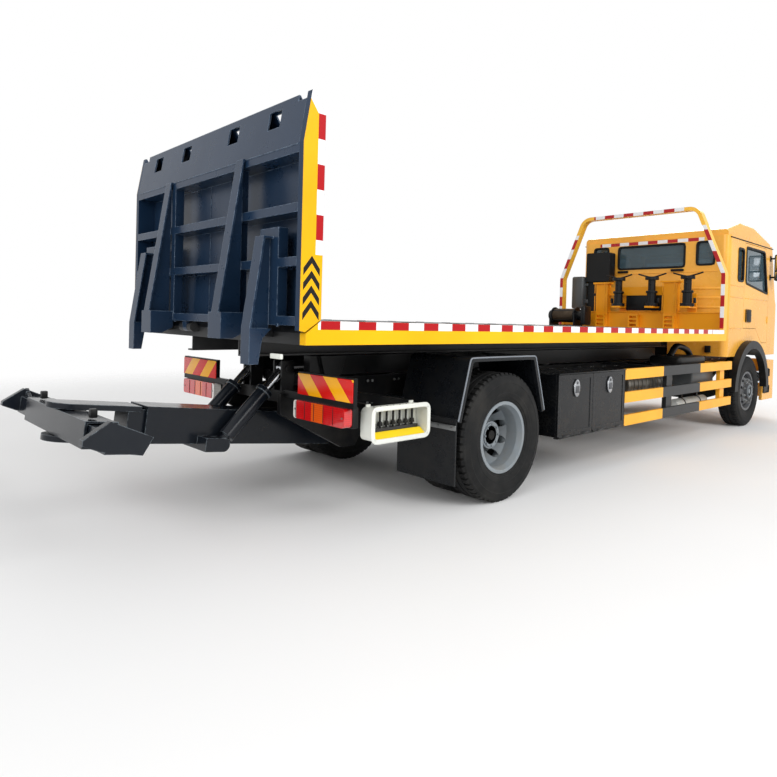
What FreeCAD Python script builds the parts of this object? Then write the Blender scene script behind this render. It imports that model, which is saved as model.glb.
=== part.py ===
import FreeCAD, Part
import math
import os
import re
import Sketcher
from FreeCAD import Placement, Rotation, Vector

# Flatbed recovery truck with a sliding tilting bed, an upright tail ramp and an underlift.
# Lengths are in millimetres. X points forward, Y to the left and Z up, with the ground at zero.
# Places along X are named from the rear axle, and each finished sub-part is then shifted
# so that the middle of the truck's length is at X = 0.

doc = FreeCAD.newDocument("flatbed_recovery_truck")
sheet = doc.addObject("Spreadsheet::Sheet", "Sizes")

# Driving sizes, one group for each assembly
SIZES = {
    "whole truck": {
        "wheelbase": 6215, "front_overhang": 1475,
        "overrun": 20, "moving_gap": 6, "pin_play": 0.05, "seam_gap": 6,
        "lug_reach": 55, "eye_play": 1,
    },
    "wheels": {
        "tyre_radius": 523, "tyre_width": 282, "tyre_shoulder": 34, "rim_radius": 292,
        "rim_half_width": 116, "rim_wall": 14, "rim_well_radius": 262, "rim_flange": 12,
        "disc_wall": 16, "hub_radius": 112, "hub_length": 150, "hub_cap": 40,
        "hand_hole_radius": 33, "hand_hole_circle": 215,
        "hand_hole_count": 10, "front_track_half": 1016, "rear_outer_track_half": 1131,
        "twin_spacing": 322, "spindle_radius": 38, "kingpin_track_half": 870,
        "kingpin_radius": 24, "kingpin_height": 250, "knuckle_gap": 126,
        "knuckle_reach": 95,
    },
    "chassis frame": {
        "frame_outer": 430, "frame_top": 990, "frame_depth": 270, "flange_width": 75,
        "frame_web": 10, "frame_rear": -1190, "frame_front": 7300, "cross_size": 90,
        "tail_plate_rear": -1600, "tail_plate_top": 890, "tail_plate_bottom": 430,
        "tail_plate_thickness": 40, "tail_plate_front": -820,
    },
    "axles": {
        "axle_drop": 150, "beam_height": 96, "beam_width": 90, "spring_half_gap": 400,
        "spring_width": 80, "spring_length": 1500, "spring_height": 90,
        "banjo_radius": 215, "axle_tube_radius": 75, "rear_tube_end": 880, "spring_leaf": 22,
    },
    "driveline": {
        "engine_rear": 5560, "engine_front": 6780, "engine_half_width": 290,
        "engine_bottom": 560, "engine_top": 1250, "gearbox_rear": 4700,
        "gearbox_radius": 210, "gearbox_height": 780, "shaft_radius": 55,
        "shaft_rear_height": 560, "shaft_end_gap": 20,
    },
    "tilt frame": {
        "tilt_pivot_x": -1150, "tilt_pivot_height": 955, "tilt_pin_radius": 30,
        "tilt_outer": 440, "tilt_rail_width": 80, "tilt_bottom": 1010,
        "tilt_rail_height": 150, "tilt_rear": -1350, "tilt_front": 4600,
        "tilt_lug_thickness": 30, "tilt_lug_radius": 62, "tilt_cross_width": 90,
    },
    "tilt cylinders": {
        "tilt_cylinder_half_gap": 215, "tilt_barrel_x": 1050, "tilt_barrel_height": 800,
        "tilt_rod_x": 2450, "tilt_rod_height": 1085, "tilt_barrel_radius": 60,
        "tilt_rod_radius": 32, "cylinder_pin_radius": 25, "eye_radius": 48,
        "eye_width": 80, "gland_length": 60, "eye_clearance": 20, "rod_play": 1,
        "pin_head": 10, "tilt_rod_back": 10, "lift_rod_back": 100,
    },
    "deck": {
        "deck_half_width": 1248, "deck_top": 1431, "deck_rear": -1867, "deck_front": 4953,
        "side_rail_height": 147, "side_rail_width": 60, "side_rail_wall": 10,
        "mitre_run": 109, "mitre_drop": 77, "floor_thickness": 10,
        "deck_beam_outer": 430, "deck_beam_width": 80, "deck_beam_bottom": 1167,
        "bearer_height": 100, "bearer_width": 60, "bearer_count": 13,
        "deck_tail_height": 150, "beam_web": 12, "winch_floor_length": 613, "floor_step": 4,
    },
    "headboard": {
        "headboard_height": 229, "headboard_thickness": 60, "post_half_gap": 520,
        "post_width": 190, "post_depth": 110, "post_top": 2085, "post_cap": 265,
        "post_cap_thickness": 25, "bar_bottom": 1908, "bar_top": 2034,
        "ladder_width": 150, "ladder_rail": 20, "ladder_depth": 90, "ladder_rungs": 4,
        "ladder_drop": 36, "shelf_reach": 220, "stand_gap": 36,
    },
    "roll hoop": {
        "hoop_width": 50, "hoop_depth": 120, "hoop_setback": 2,
        "hoop_knee_height": 2190, "hoop_top_half": 870, "hoop_top": 3130,
        "hoop_bend": 190, "hoop_x": 4890,
    },
    "winch": {
        "winch_x": 4560, "winch_y": 960, "winch_drum_radius": 95, "winch_length": 400,
        "winch_flange_radius": 128, "winch_plate": 16, "winch_motor_radius": 70,
        "winch_motor_length": 110, "winch_base": 30,
    },
    "fork stands": {
        "stand_pitch": 500, "stand_middle": -290, "stand_top": 2165, "stand_bottom": 1745,
        "stand_post_radius": 50, "stand_disc_radius": 92, "stand_disc_thickness": 42,
        "stand_tube_radius": 62, "stand_arm": 60,
    },
    "tail ramp": {
        "ramp_top": 2792, "ramp_depth": 156, "ramp_tip_height": 312, "ramp_tip_x": -1963,
        "ramp_sheet": 12, "ramp_side": 48, "ramp_rail_height": 56, "ramp_rail_depth": 70,
        "ramp_bend": 2660, "ramp_rail_upper": 2130, "ramp_rail_middle": 1810,
        "ramp_rail_lower": 1455, "ramp_slot_width": 140, "ramp_slot_height": 115,
        "ramp_slot_middle": 2685, "ramp_slot_inner": 360, "ramp_slot_outer": 875,
        "ramp_gap": 4, "ramp_pin_radius": 16, "ramp_knuckle_radius": 34,
        "ramp_knuckle_width": 60, "ramp_knuckle_inner": 290, "ramp_knuckle_outer": 740,
        "ramp_foot_lift": 10, "wedge_flange": 12, "tip_notch_width": 90, "tip_notch_height": 40,
        "wedge_half_gap": 550, "wedge_width": 90, "wedge_depth": 178, "wedge_top_depth": 20,
        "wedge_foot_width": 170, "wedge_foot_bottom": 1300, "wedge_foot_top": 1470,
        "leg_half_gap": 900, "leg_width": 100, "leg_top": 1945, "leg_bottom": 1155,
        "leg_plate_width": 210, "leg_flange_bottom": 1375, "leg_depth": 155, "leg_top_depth": 70,
    },
    "underlift": {
        "boom_pivot_x": -950, "boom_pivot_height": 530, "boom_rise": 6.5,
        "boom_half_width": 150, "boom_height": 250, "boom_wall": 18, "boom_length": 1530,
        "boom_pin_radius": 35, "boom_sleeve_radius": 70, "extension_half_width": 120,
        "extension_height": 200, "extension_start": 330, "head_start": 1560, "boom_start": 40,
        "crossbar_reach": 1982, "swivel_radius": 40, "head_width": 260, "head_height": 36,
        "crossbar_depth": 170, "crossbar_height": 156, "crossbar_half": 610,
        "crossbar_wall": 14, "arm_depth": 130, "arm_height": 116, "arm_start": 120,
        "arm_end": 900, "bracket_depth": 370, "bracket_height": 190,
        "bracket_thickness": 50, "bracket_nose": 140, "gusset_thickness": 12, "fork_socket_radius": 32,
        "fork_socket_half_gap": 700,
    },
    "lift cylinders": {
        "lift_cylinder_half_gap": 222, "lift_upper_x": -1440, "lift_upper_height": 1060,
        "lift_lower_x": -1965, "lift_lower_height": 532, "lift_barrel_radius": 57,
        "lift_rod_radius": 34, "clevis_plate": 20,
    },
    "tail bar and lamps": {
        "tail_bar_x": -1550, "tail_bar_bottom": 866, "tail_bar_height": 150,
        "tail_bar_thickness": 30, "tail_bar_inner": 600, "tail_bar_outer": 1215,
        "lamp_inner": 590, "lamp_outer": 1160, "lamp_height": 128, "lamp_depth": 90,
        "tail_arm_height": 50, "lamp_corner": 24,
    },
    "sides": {
        "side_face": 1240, "toolbox_rear": 816, "toolbox_front": 2084,
        "toolbox_bottom": 425, "toolbox_top": 992, "toolbox_depth": 480,
        "toolbox_wall": 14, "toolbox_split": 1430, "door_corner": 15, "toolbox_door": 22,
        "toolbox_lock_drop": 132, "toolbox_lock_radius": 38, "toolbox_lock_depth": 8,
        "door_recess": 5, "door_border": 45, "door_roll_radius": 8,
        "guard_bottom": 408, "guard_top": 1003, "guard_rear": 2095, "guard_front": 5222,
        "guard_rail_height": 112, "guard_rail_depth": 34, "guard_post_depth": 50,
        "guard_post_width": 150, "guard_post_rear": 3190, "guard_post_front": 4885,
        "guard_arm_height": 28,
        "tank_rear": 830, "tank_front": 2070, "tank_bottom": 400, "tank_height": 590,
        "tank_depth": 600, "tank_corner": 110, "tank_strap": 60, "tank_cap_radius": 45,
        "silencer_rear": 2560, "silencer_front": 3420, "silencer_radius": 165,
        "silencer_y": -920, "silencer_height": 790, "side_bracket": 60,
    },
    "fenders and flaps": {
        "fender_rear": -580, "fender_front": 560, "fender_bottom": 700,
        "fender_top": 1180, "fender_top_rear": -450, "fender_top_front": 410,
        "fender_outer": 1262, "fender_width": 640, "fender_sheet": 8, "fender_rim": 34,
        "fender_bend": 60,
        "flap_bottom": 215, "flap_thickness": 12,
    },
    "control box": {
        "control_rear": -1420, "control_front": -890, "control_bottom": 640,
        "control_top": 860, "control_depth": 120, "control_wall": 14,
        "control_corner": 40, "lever_count": 7, "lever_radius": 7, "lever_length": 130,
        "lever_setback": 84, "valve_height": 60, "valve_setback": 64,
    },
    "cab": {
        "cab_rear": 5330, "cab_front": 7610, "cab_half_width": 1120, "cab_bottom": 1050,
        "gutter_height": 2780, "cab_wall": 45, "screen_top_x": 7330,
        "screen_bottom_x": 7560, "screen_bottom": 1960, "screen_top_drop": 100,
        "cab_corner": 90, "roof_rise": 230, "roof_rear_rise": 80, "roof_front_rise": 70,
        "roof_front_run": 60, "roof_crest_rear": 5900, "roof_crest_front": 6450,
        "roof_corner": 55, "roof_inset": 25, "roof_wall": 30, "grille_half": 700, "grille_bottom": 1180,
        "grille_top": 1780, "grille_depth": 30, "grille_bars": 5, "grille_bar": 60,
        "tunnel_half_width": 345, "tunnel_height": 1330, "floor_height": 1130,
        "arch_radius": 640, "arch_outer": 1215, "arch_thickness": 60, "arch_flare": 757,
        "cab_pivot_x": 7560, "cab_pivot_height": 1000, "cab_lug_radius": 42,
        "cab_lug_width": 50, "cab_pin_radius": 25, "arch_inner": 690, "arch_liner": 12,
        "arch_bottom": 560, "nose_height": 1880,
    },
    "doors": {
        "door_rear": 5985, "door_front": 7130, "door_bottom": 1240, "door_seam": 1460,
        "door_top_drop": 55, "door_step_rear": 6560, "door_step_front": 6840,
        "sill_height": 2130, "sill_drop": 110, "window_border": 60, "pillar_lean": 180,
        "hinge_radius": 14, "hinge_height": 90, "hinge_low": 1560, "hinge_high": 2010,
        "hinge_setback": 20, "hinge_inset": 1, "hinge_pin_radius": 6,
        "handle_rear": 6080, "handle_front": 6290, "handle_bottom": 1560,
        "handle_top": 1740, "handle_depth": 18, "handle_grip": 34,
    },
    "cab openings": {
        "rear_window_half": 515, "rear_window_height": 355, "rear_window_drop": 85,
        "side_window_inner": 680, "side_window_outer": 930,
        "side_window_height": 340, "side_window_drop": 80, "quarter_rear": 5710,
        "quarter_front": 5940, "quarter_height": 470, "quarter_drop": 160,
        "screen_half": 1010, "glass_thickness": 8, "window_corner": 40,
    },
    "cab fittings": {
        "seat_half_gap": 560, "seat_width": 500, "seat_depth": 480,
        "seat_height": 150, "seat_rear": 5900, "seat_back_height": 640,
        "seat_back_depth": 140, "seat_corner": 40, "dash_rear": 6960, "dash_front": 7420,
        "dash_rise": 170, "dash_top": 1880, "dash_side_gap": 12, "steer_wheel_radius": 225,
        "steer_rim_radius": 17, "steer_x": 6820, "steer_z": 1960, "steer_tilt": 35,
        "mirror_x": 7140, "mirror_height": 420, "mirror_width": 190,
        "mirror_depth": 90, "mirror_top": 2650, "mirror_reach": 260,
        "mirror_arm_radius": 14, "mirror_corner": 30,
    },
    "front end": {
        "bumper_rear": 6990, "bumper_bottom": 330, "bumper_top": 960,
        "bumper_half_width": 1120, "bumper_wall": 60, "bumper_corner": 180,
        "lamp_half_gap": 780, "headlamp_width": 330, "headlamp_height": 190,
        "headlamp_bottom": 560, "headlamp_depth": 60, "intake_x": 5075,
        "intake_depth": 180, "intake_inner": 530, "intake_outer": 925,
        "intake_top": 2600, "intake_neck": 2145, "intake_duct": 275,
    },
}


def fillSheet():
    row = 0
    for group, entries in SIZES.items():
        row += 1
        sheet.set(f"A{row}", group)
        for alias, value in entries.items():
            row += 1
            sheet.set(f"A{row}", alias)
            sheet.set(f"B{row}", str(value))
            sheet.setAlias(f"B{row}", alias)
    doc.recompute()


fillSheet()
ALIASES = {alias for entries in SIZES.values() for alias in entries}
WORD = re.compile(r"[a-z][a-z_]+")
AXES = ("x", "y", "z")
TURNS = {
    "XY": Rotation(),
    "XZ": Rotation(Vector(1, 0, 0), 90),
    "YZ": Rotation(0.5, 0.5, 0.5, 0.5),
}
NORMALS = {"XY": Vector(0, 0, 1), "XZ": Vector(0, 1, 0), "YZ": Vector(1, 0, 0)}
ACROSS = Vector(0, 1, 0)
subparts = []


# Sheet helpers

def link(text):
    """An expression in the sheet's words, written as the document reads it."""
    return WORD.sub(lambda m: f"Sizes.{m[0]}" if m[0] in ALIASES else m[0], text)


def size(text):
    """The present value of an expression."""
    return float(sheet.evalExpression(link(text)))


def bind(item, field, text):
    item.setExpression(field, link(text))


def new(kind, name):
    return doc.addObject(kind, name)


# Solids bound to the sheet

def box(name, x, y, z):
    item = new("Part::Box", name)
    for field, axis, (low, high) in zip(("Length", "Width", "Height"), AXES, (x, y, z)):
        bind(item, field, f"({high}) - ({low})")
        bind(item, f"Placement.Base.{axis}", low)
    return item


def rod(name, axis, centre, low, high, radius):
    """A round bar along an axis, its centre given on the other two axes in order."""
    item = new("Part::Cylinder", name)
    turn = {"x": Rotation(Vector(0, 1, 0), 90), "y": Rotation(Vector(1, 0, 0), -90),
            "z": Rotation()}[axis]
    item.Placement = Placement(Vector(), turn)
    bind(item, "Radius", radius)
    bind(item, "Height", f"({high}) - ({low})")
    bind(item, f"Placement.Base.{axis}", low)
    for other, place in zip([a for a in AXES if a != axis], centre):
        bind(item, f"Placement.Base.{other}", place)
    return item


def drawOutline(drawing, points):
    """Straight edges through points that are held by the sheet."""
    values = [Vector(size(a), size(b), 0) for a, b in points]
    count = len(points)
    for i in range(count):
        drawing.addGeometry(Part.LineSegment(values[i], values[(i + 1) % count]), False)
    for i in range(count):
        drawing.addConstraint(Sketcher.Constraint("Coincident", i, 2, (i + 1) % count, 1))
    for i, point in enumerate(points):
        for kind, text, value in zip(("DistanceX", "DistanceY"), point, values[i]):
            number = drawing.addConstraint(Sketcher.Constraint(kind, -1, 1, i, 1, value))
            bind(drawing, f"Constraints[{number}]", text)


def prism(name, plane, points, low, high):
    """An outline drawn in a plane and pushed along that plane's normal."""
    drawing = new("Sketcher::SketchObject", name + "_outline")
    drawing.Placement = Placement(Vector(), TURNS[plane])
    drawOutline(drawing, points)
    normal = NORMALS[plane]
    axis = AXES[[i for i in range(3) if normal[i]][0]]
    bind(drawing, f"Placement.Base.{axis}", low)
    item = new("Part::Extrusion", name)
    item.Base = drawing
    item.DirMode = "Custom"
    item.Dir = normal
    item.Solid = True
    bind(item, "LengthFwd", f"({high}) - ({low})")
    return item


def turned(name, points, axis):
    """A half outline of radius and place, revolved about an axis along Y."""
    drawing = new("Sketcher::SketchObject", name + "_outline")
    drawOutline(drawing, points)
    item = new("Part::Revolution", name)
    item.Source = drawing
    item.Axis = axis
    item.Angle = 360
    item.Solid = True
    return item


def fuse(name, items):
    item = new("Part::MultiFuse", name)
    item.Shapes = items
    return item


def chain(name, items):
    """Pieces fused one after another, where several meet along shared edges."""
    whole = items[0]
    for number, item in enumerate(items[1:]):
        step = new("Part::Fuse", f"{name}_{number}")
        step.Base, step.Tool = whole, item
        whole = step
    return whole


def cut(name, base, tools):
    item = new("Part::Cut", name)
    item.Base = base
    item.Tool = tools[0] if len(tools) == 1 else fuse(name + "_tools", tools)
    return item


def mirror(name, source):
    item = new("Part::Mirroring", name)
    item.Source = source
    item.Normal = ACROSS
    return item


def pair(name, source):
    return fuse(name, [source, mirror(name + "_left", source)])


def gather(name, items):
    """Finished solids kept side by side as one piece."""
    item = new("Part::Compound", name)
    item.Links = items
    return item


def carrier(name, shape):
    """A shape from the part functions, whose sizes were read from the sheet."""
    item = new("Part::Feature", name)
    item.Shape = shape
    return item


def soften(name, base, radius, rule):
    """Round the edges that a rule on their middle and direction picks."""
    doc.recompute()
    item = new("Part::Fillet", name)
    item.Base = base
    edges = []
    for number, edge in enumerate(base.Shape.Edges, 1):
        if isinstance(edge.Curve, Part.Line):
            way = edge.tangentAt(edge.FirstParameter)
            if rule(edge.CenterOfMass, way):
                edges.append((number, size(radius), size(radius)))
    item.Edges = edges
    return item


# A wheel bracket's side, as shares of its depth and height about the arm's middle
bracketShares = ((-0.49, 0.08), (-0.14, 0.61), (0.51, 0.19), (0.38, -0.34), (-0.24, -0.23),
                 (-0.49, -0.07))


def rearReach():
    """How far the underlift's brackets stand behind the rear axle at rest."""
    along, up = bracketShares[-1]
    return (f"((crossbar_reach - bracket_depth * {along}) * cos(boom_rise * 1 deg)"
            f" - bracket_height * {up} * sin(boom_rise * 1 deg) - boom_pivot_x)")


def finish(item, label, place=None):
    """Name a finished sub-part and set it in the truck's frame."""
    item.Label = label
    shift = size(f"({rearReach()} - wheelbase - front_overhang) / 2")
    start = place or Placement()
    item.Placement = Placement(Vector(shift, 0, 0), Rotation()) * start * item.Placement
    subparts.append(item)
    return item


def roundedWire(points):
    """A closed wire through plane points, each with its own corner radius."""
    edges = []
    count = len(points)
    starts, ends = [], []
    for i, (a, b, radius) in enumerate(points):
        here = Vector(a, b, 0)
        back = (Vector(*points[i - 1][:2], 0) - here).normalize()
        ahead = (Vector(*points[(i + 1) % count][:2], 0) - here).normalize()
        half = back.getAngle(ahead) / 2
        reach = radius / math.tan(half) if radius else 0
        starts.append(here + back * reach)
        ends.append(here + ahead * reach)
        if radius:
            bisector = (back + ahead).normalize()
            middle = here + bisector * (radius / math.sin(half) - radius)
            edges.append(Part.Arc(starts[-1], middle, ends[-1]).toShape())
    for i in range(count):
        if (starts[(i + 1) % count] - ends[i]).Length > 0:
            edges.append(Part.makeLine(ends[i], starts[(i + 1) % count]))
    return Part.Wire(Part.__sortEdges__(edges))


def roundedPlate(plane, points, low, high, holes=()):
    """A plate with rounded corners, pushed along its plane's normal."""
    wires = [roundedWire(points)] + [roundedWire(hole) for hole in holes]
    face = Part.Face(wires)
    face.Placement = Placement(NORMALS[plane] * low, TURNS[plane])
    return face.extrude(NORMALS[plane] * (high - low))


def sizes(*texts):
    return [size(text) for text in texts]


# The ladder frame with its tail plates, pivot pins and cylinder brackets

def chassisFrame():
    rail = cut("frame_rail", box(
        "frame_rail_stock", ("frame_rear", "frame_front"),
        ("frame_outer - flange_width", "frame_outer"),
        ("frame_top - frame_depth", "frame_top")), [box(
            "frame_rail_hollow", ("frame_rear - overrun", "frame_front + overrun"),
            ("frame_outer - flange_width - overrun", "frame_outer - frame_web"),
            ("frame_top - frame_depth + frame_web", "frame_top - frame_web"))])
    plate = prism("tail_plate", "XZ", [
        ("tail_plate_front", "frame_top - frame_depth"),
        ("tail_plate_front", "boom_pivot_height"),
        ("boom_pivot_x + boom_sleeve_radius", "tail_plate_bottom"),
        ("boom_pivot_x - boom_sleeve_radius", "tail_plate_bottom"),
        ("tail_plate_rear", "tail_bar_bottom - lamp_height"),
        ("tail_plate_rear", "tail_plate_top"),
        ("frame_rear", "tail_plate_top"),
        ("frame_rear", "frame_top - frame_depth")],
        "frame_outer - tail_plate_thickness", "frame_outer")
    tiltPin = rod("tilt_pin", "y", ("tilt_pivot_x", "tilt_pivot_height"),
                  "frame_outer - frame_web", "tilt_outer + tilt_lug_thickness + moving_gap",
                  "tilt_pin_radius")
    side = [rail, plate, tiltPin]
    side += liftClevis() + barrelClevis() + cabBracket()
    left = fuse("frame_side", side)
    crosses = []
    top = ("frame_top - frame_web - cross_size", "frame_top - frame_web")
    for number, rear in enumerate(("frame_rear + frame_web", "tilt_barrel_x - lug_reach * 4",
                                   "tilt_rod_x + lug_reach * 4", "gearbox_rear - cross_size * 2",
                                   "frame_front - cross_size")):
        crosses.append(box(f"frame_cross_{number}", (rear, f"{rear} + cross_size"),
                           ("frame_web - frame_outer", "frame_outer - frame_web"), top))
    crosses.append(box("barrel_cross", (
        "tilt_barrel_x - eye_radius * 3", "tilt_barrel_x - eye_radius - eye_clearance"),
        ("frame_web - frame_outer", "frame_outer - frame_web"),
        ("tilt_barrel_height - eye_radius", "tilt_barrel_height + eye_radius")))
    crosses.append(box("lift_cross", (
        "lift_upper_x - lug_reach", "lift_upper_x + lug_reach"),
        ("tail_plate_thickness - frame_outer", "frame_outer - tail_plate_thickness"),
        ("tail_plate_top - cross_size", "tail_plate_top")))
    crosses.append(rod("boom_pin", "y", ("boom_pivot_x", "boom_pivot_height"),
                       "tail_plate_thickness / 2 - frame_outer",
                       "frame_outer - tail_plate_thickness / 2", "boom_pin_radius"))
    whole = fuse("frame", [left, mirror("frame_right", left)] + crosses)
    return finish(whole, "chassis_frame")


def pinHeads(name, place, middle):
    """The two ends of a pin, outside the lugs on both sides of a cylinder's eye."""
    gap = "(eye_width / 2 + eye_play)"
    return [
        rod(f"{name}_head_inner", "y", place, f"{middle} - {gap} - clevis_plate - pin_head",
            f"{middle} - {gap}", "cylinder_pin_radius"),
        rod(f"{name}_head_outer", "y", place, f"{middle} + {gap}",
            f"{middle} + {gap} + clevis_plate + pin_head", "cylinder_pin_radius")]


def clevis(name, x, z, middle, foot):
    """Two lugs that stand up from a foot height, with a pin's heads on them."""
    gap = "eye_width / 2 + eye_play"
    plates = []
    for side, start in (("inner", f"{middle} - ({gap}) - clevis_plate"),
                        ("outer", f"{middle} + ({gap})")):
        plates.append(box(f"{name}_{side}", (f"{x} - lug_reach", f"{x} + lug_reach"),
                          (start, f"{start} + clevis_plate"), foot))
    return plates + pinHeads(name, (x, z), middle)


def liftClevis():
    return clevis("lift_clevis", "lift_upper_x", "lift_upper_height",
                  "lift_cylinder_half_gap",
                  ("tail_plate_top - cross_size", "lift_upper_height + lug_reach"))


def barrelClevis():
    gap = "eye_width / 2 + eye_play"
    plates = []
    for side, start in (("inner", f"tilt_cylinder_half_gap - ({gap}) - clevis_plate"),
                        ("outer", f"tilt_cylinder_half_gap + ({gap})")):
        span = (start, f"{start} + clevis_plate")
        plates.append(box(f"barrel_lug_{side}", (
            "tilt_barrel_x - eye_radius * 2", "tilt_barrel_x"), span,
            ("tilt_barrel_height - eye_radius", "tilt_barrel_height + eye_radius")))
        plates.append(rod(f"barrel_lug_end_{side}", "y", ("tilt_barrel_x", "tilt_barrel_height"),
                          *span, "eye_radius"))
    plates.append(rod("barrel_pin", "y", ("tilt_barrel_x", "tilt_barrel_height"),
                      f"tilt_cylinder_half_gap - ({gap}) - clevis_plate",
                      f"tilt_cylinder_half_gap + ({gap}) + clevis_plate",
                      "cylinder_pin_radius"))
    return plates


def cabBracket():
    """The bracket that the cab's front hinge turns on."""
    inner, pivot = "frame_outer - cab_lug_width", ("cab_pivot_x", "cab_pivot_height")
    return [prism("cab_bracket", "XZ", [
                ("frame_front - overrun", "frame_top"),
                ("frame_front - overrun", "frame_top - cab_lug_radius * 3"),
                ("cab_pivot_x", "cab_pivot_height - cab_lug_radius"),
                ("cab_pivot_x", "frame_top + cab_pin_radius")], inner, "frame_outer"),
            rod("cab_bracket_eye", "y", pivot, inner, "frame_outer", "cab_lug_radius"),
            rod("cab_pin", "y", pivot, "frame_outer - cab_lug_width * 2 - moving_gap * 2",
                "frame_outer", "cab_pin_radius")]


# Axles with their leaf springs

def spring(name, centre, middle, low):
    """A leaf pack, thick over the axle and thin at its shackles."""
    end = "frame_top - frame_depth"
    return prism(name, "XZ", [
        (f"{centre} - spring_length / 2", end),
        (f"{centre} - spring_length / 2", f"{end} - spring_leaf"),
        (f"{centre} - beam_width", low),
        (f"{centre} + beam_width", low),
        (f"{centre} + spring_length / 2", f"{end} - spring_leaf"),
        (f"{centre} + spring_length / 2", end),
        (f"{centre} + spring_length / 2 - spring_leaf", end),
        (f"{centre} + beam_width", f"{low} + spring_height"),
        (f"{centre} - beam_width", f"{low} + spring_height"),
        (f"{centre} - spring_length / 2 + spring_leaf", end)],
        f"{middle} - spring_width / 2", f"{middle} + spring_width / 2")


def frontAxle():
    low = "tyre_radius - axle_drop - beam_height / 2"
    beam = prism("front_beam", "YZ", [
        ("0", low), ("spring_half_gap + spring_width", low),
        ("kingpin_track_half - eye_radius", "tyre_radius - knuckle_gap / 2"),
        ("kingpin_track_half", "tyre_radius - knuckle_gap / 2"),
        ("kingpin_track_half", "tyre_radius + knuckle_gap / 2"),
        ("kingpin_track_half - eye_radius", "tyre_radius + knuckle_gap / 2"),
        ("spring_half_gap + spring_width - beam_height / 2", f"{low} + beam_height"),
        ("0", f"{low} + beam_height")],
        "wheelbase - beam_width / 2", "wheelbase + beam_width / 2")
    boss = rod("kingpin_boss", "z", ("wheelbase", "kingpin_track_half"),
               "tyre_radius - knuckle_gap / 2", "tyre_radius + knuckle_gap / 2", "eye_radius")
    bore = rod("kingpin_bore", "z", ("wheelbase", "kingpin_track_half"),
               "tyre_radius - knuckle_gap", "tyre_radius + knuckle_gap",
               "kingpin_radius + pin_play")
    half = fuse("front_axle_half", [
        cut("front_axle_bored", fuse("front_axle_solid", [beam, boss]), [bore]),
        spring("front_spring", "wheelbase", "spring_half_gap", f"{low} + beam_height")])
    return finish(pair("front_axle_pair", half), "front_axle")


def rearAxle():
    tube = rod("rear_tube", "y", ("0", "tyre_radius"), "0", "rear_tube_end", "axle_tube_radius")
    spindle = rod("rear_spindle", "y", ("0", "tyre_radius"), "0",
                  "rear_outer_track_half", "spindle_radius")
    half = fuse("rear_axle_half", [tube, spindle, spring(
        "rear_spring", "0", "spring_half_gap", "tyre_radius + axle_tube_radius - spring_leaf")])
    banjo = rod("banjo", "x", ("0", "tyre_radius"), "-banjo_radius / 2", "banjo_radius / 2",
                "banjo_radius")
    nose = rod("pinion_nose", "x", ("0", "tyre_radius"), "0", "banjo_radius * 1.4",
               "banjo_radius / 2")
    whole = fuse("rear_axle_whole", [half, mirror("rear_axle_other", half), banjo, nose])
    return finish(whole, "rear_axle")


def driveline():
    engine = box("engine", ("engine_rear", "engine_front"),
                 ("-engine_half_width", "engine_half_width"), ("engine_bottom", "engine_top"))
    gearbox = rod("gearbox", "x", ("0", "gearbox_height"), "gearbox_rear",
                  "engine_rear + overrun", "gearbox_radius")
    rear, front, low, high = sizes("banjo_radius * 1.4 + shaft_end_gap", "gearbox_rear + overrun",
                                   "shaft_rear_height", "gearbox_height")
    run = Vector(front - rear, 0, high - low)
    shaft = carrier("prop_shaft", Part.makeCylinder(
        size("shaft_radius"), run.Length, Vector(rear, 0, low), run))
    return finish(fuse("driveline_whole", [engine, gearbox, shaft]), "engine_and_gearbox")


# Wheels, turned about the axle line

def tyreRing(name, middle):
    """One tyre about the Y axis, its middle at a place along that axis."""
    half = "tyre_width / 2"
    tread = f"({half} - tyre_shoulder)"
    return turned(name, [
        ("rim_radius", f"{middle} - {tread}"),
        ("(rim_radius + tyre_radius) / 2", f"{middle} - {half}"),
        ("tyre_radius - tyre_shoulder", f"{middle} - {half} + tyre_shoulder / 2"),
        ("tyre_radius", f"{middle} - {tread}"),
        ("tyre_radius", f"{middle} + {tread}"),
        ("tyre_radius - tyre_shoulder", f"{middle} + {half} - tyre_shoulder / 2"),
        ("(rim_radius + tyre_radius) / 2", f"{middle} + {half}"),
        ("rim_radius", f"{middle} + {tread}")], ACROSS)


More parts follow.
